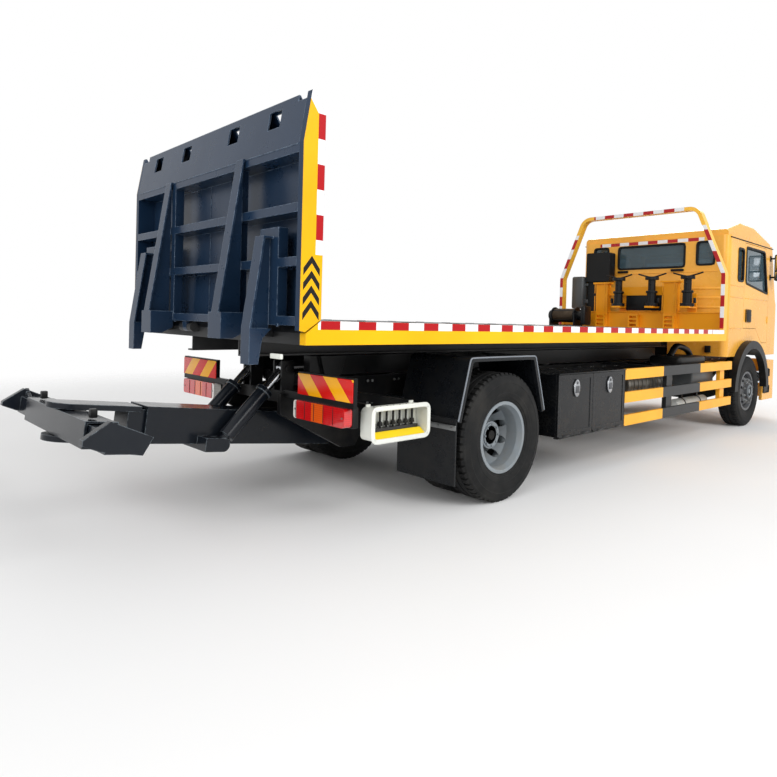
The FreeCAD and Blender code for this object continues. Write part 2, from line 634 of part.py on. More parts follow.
def rimBody(name, middles, discs, hub, holeSpan):
    """Steel rims on one hub: barrels, dished discs and a hub turned, then hand holes cut."""
    body = new("PartDesign::Body", name)
    planes = {item.Role: item for item in body.Origin.OriginFeatures}
    outlines = [barrelOutline(middle) for middle in middles]
    outlines += [discOutline(start, face, wall) for start, face, wall in discs]
    outlines.append([("spindle_radius + pin_play", hub[0]), ("hub_radius", hub[0]),
                     ("hub_radius", hub[1]), ("spindle_radius + pin_play", hub[1])])
    for number, points in enumerate(outlines):
        drawing = body.newObject("Sketcher::SketchObject", f"{name}_outline_{number}")
        drawing.AttachmentSupport = [(planes["XY_Plane"], "")]
        drawing.MapMode = "FlatFace"
        drawOutline(drawing, points)
        spun = body.newObject("PartDesign::Revolution", f"{name}_turned_{number}")
        spun.Profile = drawing
        spun.ReferenceAxis = (drawing, ["V_Axis"])
        spun.Angle = 360
    doc.recompute()
    before = body.Shape.Volume
    drawing = body.newObject("Sketcher::SketchObject", f"{name}_hand_hole")
    drawing.AttachmentSupport = [(planes["XZ_Plane"], "")]
    drawing.MapMode = "FlatFace"
    bind(drawing, "AttachmentOffset.Base.z", f"-({holeSpan[1]})")
    turn = "(180 deg / hand_hole_count)"
    centre = (f"hand_hole_circle * cos{turn}", f"hand_hole_circle * sin{turn}")
    drawing.addGeometry(Part.Circle(Vector(*sizes(*centre), 0), Vector(0, 0, 1),
                                    size("hand_hole_radius")), False)
    radius = drawing.addConstraint(Sketcher.Constraint("Radius", 0, size("hand_hole_radius")))
    bind(drawing, f"Constraints[{radius}]", "hand_hole_radius")
    for kind, text in zip(("DistanceX", "DistanceY"), centre):
        number = drawing.addConstraint(Sketcher.Constraint(kind, -1, 1, 0, 3, size(text)))
        bind(drawing, f"Constraints[{number}]", text)
    hole = body.newObject("PartDesign::Pocket", f"{name}_hole")
    hole.Profile = drawing
    bind(hole, "Length", f"({holeSpan[1]}) - ({holeSpan[0]})")
    hole.Reversed = True
    ring = body.newObject("PartDesign::PolarPattern", f"{name}_holes")
    ring.Originals = [hole]
    ring.Axis = (planes["Y_Axis"], [""])
    ring.Occurrences = int(size("hand_hole_count"))
    body.Tip = ring
    doc.recompute()
    if body.Shape.Volume >= before:
        raise RuntimeError(f"{name}: the hand holes cut nothing")
    return body


def barrelOutline(centre):
    half = "rim_half_width"
    return [
        ("rim_radius", f"{centre} + {half}"),
        ("rim_radius", f"{centre} + {half} - rim_flange"),
        ("rim_radius - rim_wall", f"{centre} + {half} - rim_flange"),
        ("rim_well_radius", f"{centre} + {half} / 2"),
        ("rim_well_radius", f"{centre} - {half} / 2"),
        ("rim_radius - rim_wall", f"{centre} - {half} + rim_flange"),
        ("rim_radius", f"{centre} - {half} + rim_flange"),
        ("rim_radius", f"{centre} - {half}"),
        ("rim_radius - rim_wall * 2", f"{centre} - {half}"),
        ("rim_well_radius - rim_wall", f"{centre} - {half} / 2 - rim_flange"),
        ("rim_well_radius - rim_wall", f"{centre} + {half} / 2 + rim_flange"),
        ("rim_radius - rim_wall * 2", f"{centre} + {half}")]


def discOutline(start, face, wall):
    """A dish from the well to the flat where the hub bolts on."""
    rim, flat = "rim_well_radius - rim_wall / 2", "hand_hole_circle - hand_hole_radius"
    return [(rim, start), (flat, face), ("spindle_radius + pin_play", face), ("spindle_radius + pin_play", f"{face} + {wall}"),
            (flat, f"{face} + {wall}"), (rim, f"{start} + {wall}")]


def wheels():
    """Tyres and rims, made for the left side and mirrored to the right."""
    axle = "tyre_radius"
    front = "front_track_half"
    face = f"{front} + rim_half_width"
    frontRim = rimBody("front_rim", [front], [(f"{front} + rim_half_width / 3", face, "-disc_wall")],
                       ("kingpin_track_half + knuckle_reach + moving_gap",
                        f"{face} + hub_cap"), (front, f"{face} + hub_cap"))
    frontTyre = tyreRing("front_tyre", front)
    mate = "rear_outer_track_half - twin_spacing / 2"
    outer, inner = "rear_outer_track_half", "rear_outer_track_half - twin_spacing"
    rearRim = rimBody("rear_rim", [outer, inner], [
        (f"{outer} - rim_half_width / 3", mate, "disc_wall"),
        (f"{inner} + rim_half_width / 3", mate, "-disc_wall")],
        ("rear_tube_end + moving_gap", f"{mate} + hub_length"),
        (inner, outer))
    rearTyres = fuse("rear_tyres", [tyreRing("rear_tyre_outer", outer),
                                    tyreRing("rear_tyre_inner", inner)])
    for name, item, x in (("front_tyre", frontTyre, "wheelbase"),
                          ("front_rim", frontRim, "wheelbase"),
                          ("rear_tyres", rearTyres, "0"), ("rear_rims", rearRim, "0")):
        place = Placement(Vector(size(x), 0, size(axle)), Rotation())
        finish(mirror(f"{name}_mirrored", item), f"{name}_right", place)
        finish(gather(f"{name}_gathered", [item]), f"{name}_left", place)


def knuckles():
    """Steering knuckles that carry the front wheels on upright kingpins."""
    gap, half = "knuckle_gap / 2 + eye_play", "kingpin_height / 2"
    kingpin = ("wheelbase", "kingpin_track_half")
    items = []
    for name, low, high in (
            ("upper", f"tyre_radius + {gap}", f"tyre_radius + {half}"),
            ("lower", f"tyre_radius - {half}", f"tyre_radius - ({gap})")):
        items.append(rod(f"knuckle_{name}", "z", kingpin, low, high, "eye_radius"))
        items.append(box(f"knuckle_arm_{name}",
                         ("wheelbase - eye_radius", "wheelbase + eye_radius"),
                         ("kingpin_track_half", "kingpin_track_half + knuckle_reach"),
                         (low, high)))
    items.append(box("knuckle_web", ("wheelbase - eye_radius", "wheelbase + eye_radius"), (
        "kingpin_track_half + eye_radius + moving_gap", "kingpin_track_half + knuckle_reach"),
        (f"tyre_radius - {half}", f"tyre_radius + {half}")))
    items.append(rod("kingpin", "z", kingpin, f"tyre_radius - {half}", f"tyre_radius + {half}",
                     "kingpin_radius"))
    items.append(rod("front_spindle", "y", ("wheelbase", "tyre_radius"),
                     "kingpin_track_half + knuckle_reach - overrun",
                     "front_track_half + rim_half_width", "spindle_radius"))
    left = fuse("knuckle", items)
    finish(mirror("knuckle_mirrored", left), "knuckle_right")
    finish(gather("knuckle_gathered", [left]), "knuckle_left")


# The tilt frame and its two lifting cylinders

def tiltFrame():
    top = "tilt_bottom + tilt_rail_height"
    rail = box("tilt_rail", ("tilt_rear", "tilt_front"),
               ("tilt_outer - tilt_rail_width", "tilt_outer"), ("tilt_bottom", top))
    pivot = ("tilt_pivot_x", "tilt_pivot_height")
    span = ("tilt_outer", "tilt_outer + tilt_lug_thickness")
    lug = prism("tilt_lug", "XZ", [
        ("tilt_pivot_x - tilt_lug_radius * 2", top),
        ("tilt_pivot_x - tilt_lug_radius", "tilt_pivot_height"),
        ("tilt_pivot_x + tilt_lug_radius", "tilt_pivot_height"),
        ("tilt_pivot_x + tilt_lug_radius * 2", top)], *span)
    eye = rod("tilt_eye", "y", pivot, *span, "tilt_lug_radius")
    bore = rod("tilt_eye_bore", "y", pivot, "tilt_outer - overrun",
               "tilt_outer + tilt_lug_thickness + overrun", "tilt_pin_radius + pin_play")
    half = cut("tilt_side", fuse("tilt_side_solid", [rail, lug, eye]), [bore])
    crosses = []
    for number, rear in enumerate((
            "tilt_rod_x + lug_reach * 1.5", "gearbox_rear - cross_size * 8",
            "tilt_front - tilt_cross_width", "tilt_barrel_x - lug_reach * 8")):
        crosses.append(box(f"tilt_cross_{number}", (rear, f"{rear} + tilt_cross_width"),
                           ("-tilt_outer + overrun", "tilt_outer - overrun"),
                           (f"{top} - tilt_cross_width", top)))
    lugs = []
    gap = "eye_width / 2 + eye_play"
    for side, start in (("inner", f"tilt_cylinder_half_gap - ({gap}) - clevis_plate"),
                        ("outer", f"tilt_cylinder_half_gap + ({gap})")):
        lugs.append(box(f"rod_lug_{side}", ("tilt_rod_x - eye_radius", "tilt_rod_x + lug_reach * 2"),
                        (start, f"{start} + clevis_plate"),
                        ("tilt_rod_height - eye_radius", "tilt_rod_height + eye_radius")))
    lugs += pinHeads("rod_lug", ("tilt_rod_x", "tilt_rod_height"), "tilt_cylinder_half_gap")
    left = fuse("tilt_left", [half] + lugs)
    whole = fuse("tilt_whole", [left, mirror("tilt_right", left)] + crosses)
    return finish(whole, "tilt_frame")


# A gland's radius, as a share of its barrel's
collarShare = 1.12


def cylinders(near, far, middle, barrelRadius, rodRadius, back, labels):
    """A barrel with its eye at one pin and a rod with its eye at the other, for both sides.

    The solids are drawn lying along X from the first pin and then turned onto the line
    between the pins.
    """
    nearX, nearZ, endX, endZ = sizes(*near, *far)
    length = math.hypot(endX - nearX, endZ - nearZ)
    angle = math.degrees(math.atan2(endZ - nearZ, endX - nearX))
    eye, width, gland = sizes("eye_radius", "eye_width", "gland_length")
    start, bore = sizes("eye_radius + eye_clearance", "cylinder_pin_radius + pin_play")
    outer, inner, centre = sizes(barrelRadius, rodRadius, middle)
    play, spare = sizes("rod_play", back)
    along, flat = Vector(1, 0, 0), Vector(0, 1, 0)
    barrelEnd = length - start - gland - spare

    def eyeAt(place):
        ring = Part.makeCylinder(eye, width, Vector(place, centre - width / 2, 0), flat)
        hole = Part.makeCylinder(bore, width, Vector(place, centre - width / 2, 0), flat)
        return ring, hole

    ring, hole = eyeAt(0)
    neck = Part.makeCylinder(inner, start + gland, Vector(0, centre, 0), along)
    tube = Part.makeCylinder(outer, barrelEnd - start, Vector(start, centre, 0), along)
    collar = Part.makeCylinder(outer * collarShare, gland / 2,
                               Vector(barrelEnd - gland / 2, centre, 0), along)
    well = Part.makeCylinder(inner + play, barrelEnd - start - gland,
                             Vector(start + gland, centre, 0), along)
    barrel = ring.fuse([neck, tube, collar]).cut([hole, well])
    ring, hole = eyeAt(length)
    stem = Part.makeCylinder(inner, length - start - gland - spare,
                             Vector(start + gland + spare, centre, 0), along)
    piston = ring.fuse(stem)
    place = Placement(Vector(nearX, 0, nearZ), Rotation(Vector(0, 1, 0), -angle))
    for shape, label in ((barrel, labels[0]), (piston, labels[1])):
        both = Part.makeCompound([shape, shape.mirror(Vector(), flat)])
        finish(carrier(f"{label}_solids", both), label, place)


# The sliding deck

def bearerRear(i, count):
    """The rear face of one of the evenly spaced cross bearers."""
    return f"deck_rear + bearer_width + {i} * (deck_front - deck_rear - bearer_width * 2) / {count - 1}"


def deckPlatform():
    inside = "deck_half_width - side_rail_width"
    under = "deck_top - floor_thickness"
    split = "deck_front - winch_floor_length"
    pieces = [box("deck_floor", ("deck_rear", split), (f"-({inside})", inside),
                  (under, "deck_top")),
              box("winch_floor", (split, "deck_front"), (f"-({inside})", inside),
                  (under, "deck_top - floor_step"))]
    count = int(size("bearer_count"))
    for i in range(count):
        rear = bearerRear(i, count)
        pieces.append(box(f"bearer_{i}", (rear, f"{rear} + bearer_width"),
                          (f"-({inside})", inside), (f"{under} - bearer_height", under)))
    beamTop = f"{under} - bearer_height"
    beam = cut("deck_beam", box(
        "deck_beam_stock", ("deck_rear - mitre_run + ramp_knuckle_radius * 2", "deck_front"),
        ("deck_beam_outer - deck_beam_width", "deck_beam_outer"), ("deck_beam_bottom", beamTop)),
        [box("deck_beam_groove", ("deck_rear - mitre_run - overrun", "deck_front + overrun"),
             ("deck_beam_outer - deck_beam_width + beam_web", "deck_beam_outer + overrun"),
             ("deck_beam_bottom + beam_web", f"{beamTop} - beam_web"))])
    pieces += [beam, mirror("deck_beam_other", beam)]
    low = "deck_top - deck_tail_height"
    pieces.append(prism("deck_tail", "XZ", [
        ("deck_rear - mitre_run + ramp_knuckle_radius + moving_gap", low),
        ("deck_rear + bearer_width", low), ("deck_rear + bearer_width", under),
        ("deck_rear", "deck_top - ramp_gap"),
        ("deck_rear - mitre_run + ramp_knuckle_radius + moving_gap",
         "deck_top - mitre_drop")], f"-({inside})", inside))
    for number, middle in enumerate(knuckleMiddles()):
        for side, start in enumerate((f"{middle} - ramp_knuckle_width * 1.5 - moving_gap",
                                      f"{middle} + ramp_knuckle_width / 2 + moving_gap")):
            knuckle = hingeKnuckle(f"deck_knuckle_{number}_{side}", start, 1)
            pieces += [knuckle, mirror(f"deck_knuckle_{number}_{side}_other", knuckle)]
        pin = rod(f"ramp_pin_{number}", "y", rampPivot(),
                  f"{middle} - ramp_knuckle_width * 1.5 - moving_gap",
                  f"{middle} + ramp_knuckle_width * 1.5 + moving_gap", "ramp_pin_radius")
        pieces += [pin, mirror(f"ramp_pin_{number}_other", pin)]
    return finish(fuse("deck_platform_whole", pieces), "deck_platform")


def rampPivot():
    return ("deck_rear - mitre_run", "deck_top - mitre_drop")


def knuckleMiddles():
    return ("ramp_knuckle_inner", "ramp_knuckle_outer")


def hingeKnuckle(name, start, way):
    """A hinge knuckle on the ramp's pivot with a leaf: 1 towards the deck, -1 up to the ramp."""
    x, z = rampPivot()
    span = (start, f"{start} + ramp_knuckle_width")
    barrel = rod(f"{name}_barrel", "y", (x, z), *span, "ramp_knuckle_radius")
    if way > 0:
        leaf = box(f"{name}_leaf", (x, f"{x} + ramp_knuckle_radius * 2"), span,
                   (f"{z} - ramp_knuckle_radius", z))
    else:
        leaf = box(f"{name}_leaf", (f"{x} - ramp_knuckle_radius", x), span,
                   (z, "ramp_rail_lower - ramp_rail_height + overrun"))
    return fuse(name, [barrel, leaf])


def sideRails():
    low = "deck_top - side_rail_height"
    stock = prism("side_rail_stock", "XZ", [
        ("deck_rear - mitre_run", low), ("deck_front", low), ("deck_front", "deck_top"),
        ("deck_rear", "deck_top"), ("deck_rear - mitre_run", "deck_top - mitre_drop")],
        "deck_half_width - side_rail_width", "deck_half_width")
    hollow = box("side_rail_hollow", ("deck_rear + bearer_width", "deck_front + overrun"), (
        "deck_half_width - side_rail_width - overrun", "deck_half_width - side_rail_wall"),
        (f"{low} + side_rail_wall", "deck_top - side_rail_wall"))
    return finish(pair("side_rail_pair", cut("side_rail", stock, [hollow])), "side_rails")


def headboard():
    low = "deck_top - floor_step"
    wallTop = "deck_top + headboard_height"
    face = "deck_front - headboard_thickness"
    span = "deck_half_width - side_rail_width"
    pieces = [box("headboard_wall", (face, "deck_front"), (f"-({span})", span), (low, wallTop))]
    post = box("headboard_post", ("deck_front - post_depth", "deck_front"),
               ("post_half_gap - post_width / 2", "post_half_gap + post_width / 2"),
               (low, "post_top"))
    cap = box("headboard_cap", ("deck_front - post_depth - post_cap_thickness", "deck_front"),
              ("post_half_gap - post_cap / 2", "post_half_gap + post_cap / 2"),
              ("post_top", "post_top + post_cap_thickness"))
    left = fuse("headboard_side", [post, cap])
    pieces += [left, mirror("headboard_side_other", left)]
    pieces.append(box("headboard_bar", (face, "deck_front"),
                      ("-post_half_gap", "post_half_gap"), ("bar_bottom", "bar_top")))
    for number, middle in enumerate(("post_half_gap", "0", "-post_half_gap")):
        pieces += ladder(f"ladder_{number}", middle, face, low, f"{wallTop} - ladder_drop")
    for number, middle in enumerate(standMiddles()):
        pieces.append(box(f"stand_shelf_{number}", (
            f"{face} - shelf_reach", "deck_front"),
            (f"{middle} - stand_arm", f"{middle} + stand_arm"),
            ("stand_bottom - post_cap_thickness", "stand_bottom")))
        pieces.append(box(f"stand_hanger_{number}", (
            "deck_front - post_cap_thickness", "deck_front"),
            (f"{middle} - stand_arm", f"{middle} + stand_arm"),
            (wallTop, "bar_bottom + overrun")))
    return finish(fuse("headboard_whole", pieces), "headboard")


def ladder(name, middle, face, low, high):
    """Two uprights with rungs, standing off the headboard's rear face."""
    rear, half = f"{face} - ladder_depth", "ladder_width / 2"
    rails = [
        box(f"{name}_inner", (rear, face), (f"{middle} - {half}", f"{middle} - {half} + ladder_rail"),
            (low, high)),
        box(f"{name}_outer", (rear, face), (f"{middle} + {half} - ladder_rail", f"{middle} + {half}"),
            (low, high))]
    count = int(size("ladder_rungs"))
    for i in range(count):
        bottom = f"{low} + ({high} - ({low}) - ladder_rail) * {i} / {count - 1}"
        rails.append(box(f"{name}_rung_{i}", (rear, f"{rear} + ladder_rail"),
                         (f"{middle} - {half} + ladder_rail", f"{middle} + {half} - ladder_rail"),
                         (bottom, f"{bottom} + ladder_rail")))
    return rails


def standMiddles():
    return ("stand_middle + stand_pitch", "stand_middle", "stand_middle - stand_pitch")


def forkStands():
    """Three lift stands kept upright on the headboard."""
    x = "deck_front - headboard_thickness - stand_disc_radius - stand_gap"
    pieces = []
    for number, middle in enumerate(standMiddles()):
        for word, low, high, radius in (
                ("foot", "stand_bottom", "stand_bottom + stand_disc_thickness", "stand_disc_radius"),
                ("sleeve", "stand_bottom", "(stand_bottom + stand_top) / 2", "stand_tube_radius"),
                ("post", "stand_bottom", "stand_top", "stand_post_radius"),
                ("head", "stand_top - stand_disc_thickness", "stand_top", "stand_disc_radius")):
            pieces.append(rod(f"stand_{word}_{number}", "z", (x, middle), low, high, radius))
    return finish(fuse("fork_stands_whole", pieces), "fork_stands")


def inset(points, distance):
    """An open path moved sideways by a distance, keeping its corners on the bisectors."""
    lines = []
    for (ax, ay), (bx, by) in zip(points, points[1:]):
        length = math.hypot(bx - ax, by - ay)
        nx, ny = (by - ay) / length * distance, (ax - bx) / length * distance
        lines.append(((ax + nx, ay + ny), (bx + nx, by + ny)))
    moved = [lines[0][0]]
    for ((ax, ay), (bx, by)), ((cx, cy), (dx, dy)) in zip(lines, lines[1:]):
        denominator = (bx - ax) * (dy - cy) - (by - ay) * (dx - cx)
        share = ((cx - ax) * (dy - cy) - (cy - ay) * (dx - cx)) / denominator
        moved.append((ax + (bx - ax) * share, ay + (by - ay) * share))
    return moved + [lines[-1][1]]


def band(plane, path, radii, thickness, low, high):
    """A bent strip: a path and its inset, closed at both ends, with rounded bends."""
    inner = inset(path, thickness)
    points = [(a, b, radius) for (a, b), radius in zip(path, radii)]
    points += [(a, b, max(radius - thickness, 0)) for (a, b), radius in
               zip(reversed(inner), reversed(radii))]
    return roundedPlate(plane, points, low, high)


def rollHoop():
    half, kneeHeight, topHalf, top, low = sizes(
        "deck_half_width - hoop_setback", "hoop_knee_height", "hoop_top_half", "hoop_top",
        "deck_top")
    width, depth, bend, x = sizes("hoop_width", "hoop_depth", "hoop_bend", "hoop_x")
    path = [(-half, low), (-half, kneeHeight), (-topHalf, top), (topHalf, top),
            (half, kneeHeight), (half, low)]
    shape = band("YZ", path, [0, bend, bend, bend, bend, 0], width, x - depth / 2, x + depth / 2)
    return finish(carrier("roll_hoop_tube", shape), "roll_hoop")


def winch():
    drum = ("winch_x", "deck_top + winch_flange_radius + winch_base")
    low, high = "winch_y - winch_length / 2", "winch_y + winch_length / 2"
    pieces = [rod("winch_drum", "y", drum, low, high, "winch_drum_radius")]
    for side, start in (("inner", low), ("outer", f"{high} - winch_plate")):
        pieces.append(rod(f"winch_flange_{side}", "y", drum, start, f"{start} + winch_plate",
                          "winch_flange_radius"))
    pieces.append(rod("winch_motor", "y", drum, f"{low} - winch_motor_length", low,
                      "winch_motor_radius"))
    for side, start in (("inner", f"{low} - winch_plate"), ("outer", high)):
        pieces.append(box(f"winch_cheek_{side}", (
            "winch_x - winch_flange_radius", "winch_x + winch_flange_radius"),
            (start, f"{start} + winch_plate"),
            ("deck_top - floor_step", "deck_top + winch_flange_radius + winch_base * 2")))
    pieces.append(box("winch_base_plate", (
        "winch_x - winch_flange_radius", "winch_x + winch_flange_radius"),
        (f"{low} - winch_plate", f"{high} + winch_plate"),
        ("deck_top - floor_step", "deck_top + winch_plate")))
    return finish(fuse("winch_whole", pieces), "winch")


# The tail ramp, upright behind the deck

# Where a short leg's foot narrows, as shares of the wedge's depth and the foot's lift
legShares = (0.58, 0.41, 4)


def rampFrame():
    rear, front = "deck_rear - ramp_depth", "deck_rear"
    inside = "deck_half_width - ramp_side"
    crease = "ramp_top - ramp_tip_height"
    span = (f"-({inside})", inside)
    sheet_low = "deck_top + ramp_gap"
    pieces = [prism("ramp_sheet_front", "XZ", [
        (front, sheet_low), (front, "ramp_bend"), ("ramp_tip_x + ramp_sheet / 2", "ramp_top"),
        ("ramp_tip_x - ramp_sheet / 2", "ramp_top"), (f"{front} - ramp_sheet", "ramp_bend"),
        (f"{front} - ramp_sheet", sheet_low)], *span),
        prism("ramp_tip_plate", "XZ", [
            (rear, crease), (f"{rear} + ramp_sheet", crease),
            ("ramp_tip_x + ramp_sheet / 2", "ramp_top"),
            ("ramp_tip_x - ramp_sheet / 2", "ramp_top")], *span)]
    for word, top in (("top", crease), ("upper", "ramp_rail_upper"),
                      ("middle", "ramp_rail_middle"), ("lower", "ramp_rail_lower")):
        depth = f"{front} - ramp_sheet" if word != "lower" else f"{rear} + ramp_rail_depth"
        pieces.append(box(f"ramp_rail_{word}", (rear, depth), span,
                          (f"{top} - ramp_rail_height", top)))
    slots = []
    for number, middle in enumerate(("ramp_slot_outer", "ramp_slot_inner",
                                     "-ramp_slot_inner", "-ramp_slot_outer")):
        slots.append(box(f"ramp_slot_{number}", (f"{rear} - overrun", f"{front} + overrun"),
                         (f"{middle} - ramp_slot_width / 2", f"{middle} + ramp_slot_width / 2"),
                         ("ramp_slot_middle - ramp_slot_height / 2",
                          "ramp_slot_middle + ramp_slot_height / 2")))
    for side, low, high in (("right", f"-({inside} + overrun)", f"tip_notch_width - ({inside})"),
                            ("left", f"{inside} - tip_notch_width", f"{inside} + overrun")):
        slots.append(box(f"tip_notch_{side}", (f"{rear} - overrun", f"{front} + overrun"),
                         (low, high), ("ramp_top - tip_notch_height", "ramp_top + overrun")))
    left = [wedge("long_wedge", "wedge_half_gap", "wedge_width", crease, "wedge_foot_top",
                  "wedge_top_depth", "wedge_depth"),
            prism("wedge_foot", "XZ", [
                (f"{rear} - wedge_depth", "wedge_foot_top"),
                (f"{rear} - wedge_depth", "wedge_foot_bottom"),
                (f"{rear} - wedge_depth / 2", "wedge_foot_bottom"),
                (rear, f"{rampPivot()[1]} - ramp_foot_lift"), (rear, "wedge_foot_top")],
                "wedge_half_gap - wedge_foot_width / 2", "wedge_half_gap + wedge_foot_width / 2"),
            box("wedge_stringer", (rear, f"{rear} + ramp_rail_depth"),
                ("wedge_half_gap - wedge_width", "wedge_half_gap - wedge_width / 2 + wedge_flange"),
                ("ramp_rail_lower - overrun", crease)),
            wedge("short_wedge", "leg_half_gap", "leg_width", "leg_top", "leg_flange_bottom",
                  "leg_top_depth", "leg_depth"),
            box("leg_plate", (rear, f"{rear} + ramp_rail_depth"),
                ("leg_half_gap - leg_plate_width / 2", "leg_half_gap + leg_plate_width / 2"),
                ("ramp_rail_lower - ramp_rail_height", "leg_top + ramp_rail_height")),
            prism("leg_foot", "XZ", [
                (f"{rear} - leg_depth", "leg_flange_bottom"),
                (f"{rear} - leg_depth", "leg_bottom"),
                (f"{rear} - leg_depth * {legShares[0]}", "leg_bottom"),
                (f"{rear} - leg_depth * {legShares[1]}",
                 f"{rampPivot()[1]} - ramp_foot_lift * {legShares[2]}"),
                (rear, "leg_flange_bottom")],
                "leg_half_gap - leg_width / 2", "leg_half_gap + leg_width / 2")]
    for number, middle in enumerate(knuckleMiddles()):
        left.append(hingeKnuckle(f"ramp_knuckle_{number}", f"{middle} - ramp_knuckle_width / 2", -1))
    solid = chain("ramp_solid", pieces + left + [mirror(f"{item.Name}_right", item) for item in left])
    bore = rod("ramp_bore", "y", rampPivot(), "-deck_half_width", "deck_half_width",
               "ramp_pin_radius + pin_play")
    return finish(cut("ramp_bored", solid, slots + [bore]), "ramp_frame")


def wedge(name, middle, width, top, bottom, topDepth, footDepth):
    """A tapered beam: a thin web and a flange that leans out towards its foot."""
    rear = "deck_rear - ramp_depth"
    flange = prism(f"{name}_flange", "XZ", [
        (rear, top), (f"{rear} - {topDepth}", top), (f"{rear} - {footDepth}", bottom),
        (f"{rear} - {footDepth} + wedge_flange", bottom),
        (f"{rear} - {topDepth} + wedge_flange", f"{top} - wedge_flange"),
        (rear, f"{top} - wedge_flange")],
        f"{middle} - {width} / 2", f"{middle} + {width} / 2")
    web = prism(f"{name}_web", "XZ", [
        (rear, top), (f"{rear} - {topDepth}", top), (f"{rear} - {footDepth}", bottom),
        (rear, bottom)],
        f"{middle} - wedge_flange", f"{middle} + wedge_flange")
    return fuse(name, [flange, web])


def rampSides():
    rear = "deck_rear - ramp_depth"
    x, z = rampPivot()
    side = prism("ramp_side_plate", "XZ", [
        (rear, f"{z} + ramp_gap * 4"), (f"{x} - ramp_gap * 2", f"{z} + ramp_gap * 2"),
        ("deck_rear - ramp_gap", "deck_top + ramp_gap"), ("deck_rear", "deck_top + ramp_gap"),
        ("deck_rear", "ramp_bend"), ("ramp_tip_x + ramp_sheet / 2", "ramp_top"),
        ("ramp_tip_x - ramp_sheet / 2", "ramp_top"), (rear, "ramp_top - ramp_tip_height")],
        "deck_half_width - ramp_side", "deck_half_width")
    return finish(pair("ramp_side_pair", side), "ramp_sides")


# The underlift, drawn level from the boom's pivot and then raised to its resting slope

def boomPlace():
    return Placement(Vector(size("boom_pivot_x"), 0, size("boom_pivot_height")),
                     Rotation(ACROSS, size("boom_rise")))


def boomLocal(x, z):
    """A place in the truck, as a place along the boom and square to it."""
    alongX, alongZ = f"({x} - boom_pivot_x)", f"({z} - boom_pivot_height)"
    turn = "(boom_rise * 1 deg)"
    return (f"{alongX} * cos{turn} - {alongZ} * sin{turn}",
            f"{alongX} * sin{turn} + {alongZ} * cos{turn}")


def boom():
    half, level = "boom_half_width", "boom_height / 2"
    lugX, lugZ = boomLocal("lift_lower_x", "lift_lower_height")
    gap = "eye_width / 2 + eye_play"
    lugOuter = f"lift_cylinder_half_gap + {gap} + clevis_plate"
    backSpan = (f"{lugX} - lug_reach * 2.5", f"{lugX} - eye_radius - eye_clearance")
    lugSpan = (f"{lugX} - lug_reach * 2.5", lugX)
    lugHeight = (f"{lugZ} - eye_radius", f"{lugZ} + eye_radius")
    outer = [
        box("boom_box", ("-boom_length", "boom_start"), (f"-{half}", half),
            (f"-{level}", level)),
        rod("boom_sleeve", "y", ("0", "0"), "-(frame_outer - tail_plate_thickness - moving_gap)",
            "frame_outer - tail_plate_thickness - moving_gap", "boom_sleeve_radius"),
        box("boom_lug_cross", backSpan, (f"-({lugOuter})", lugOuter), lugHeight)]
    for side, start in (("inner", f"lift_cylinder_half_gap - ({gap}) - clevis_plate"),
                        ("outer", f"lift_cylinder_half_gap + ({gap})")):
        span = (start, f"{start} + clevis_plate")
        lug = fuse(f"boom_lug_{side}", [
            box(f"boom_lug_{side}_plate", lugSpan, span, lugHeight),
            rod(f"boom_lug_{side}_end", "y", (lugX, lugZ), *span, "eye_radius")])
        outer += [lug, mirror(f"boom_lug_{side}_other", lug)]
    tools = [
        box("boom_hollow", ("-(boom_length + overrun)", "-(extension_start - moving_gap * 5)"),
            (f"boom_wall - {half}", f"{half} - boom_wall"),
            (f"boom_wall - {level}", f"{level} - boom_wall")),
        rod("boom_bore", "y", ("0", "0"), "-frame_outer", "frame_outer",
            "boom_pin_radius + pin_play")]
    pin = rod("boom_lug_pin", "y", (lugX, lugZ),
              f"lift_cylinder_half_gap - ({gap}) - clevis_plate", lugOuter, "cylinder_pin_radius")
    body = cut("boom_open", fuse("boom_outer", outer), tools)
    return finish(fuse("boom_whole", [body, pin, mirror("boom_lug_pin_other", pin)]),
                  "boom", boomPlace())


def extension():
    reach, half, level = "crossbar_reach", "extension_half_width", "extension_height / 2"
    beam = cut("extension_beam", box(
        "extension_stock", ("-(head_start + lug_reach * 1.5)", "-extension_start"),
        (f"-{half}", half), (f"-{level}", level)), [box(
            "extension_hollow", ("-(head_start + lug_reach)", "-(extension_start - overrun)"),
            (f"boom_wall - {half}", f"{half} - boom_wall"),
            (f"boom_wall - {level}", f"{level} - boom_wall"))])
    near = "crossbar_height / 2 + moving_gap"
    items = [beam]
    for side, low in (("upper", near), ("lower", f"-({near} + head_height)")):
        span = (low, f"{low} + head_height")
        items.append(box(f"head_plate_{side}", (f"-{reach}", "-head_start"),
                         ("-head_width / 2", "head_width / 2"), span))
        items.append(rod(f"head_eye_{side}", "z", (f"-{reach}", "0"), *span, "head_width / 2"))
    items.append(rod("swivel_pin", "z", (f"-{reach}", "0"), f"-({near} + head_height)",
                     f"{near} + head_height", "swivel_radius"))
    return finish(fuse("extension_whole", items), "extension", boomPlace())


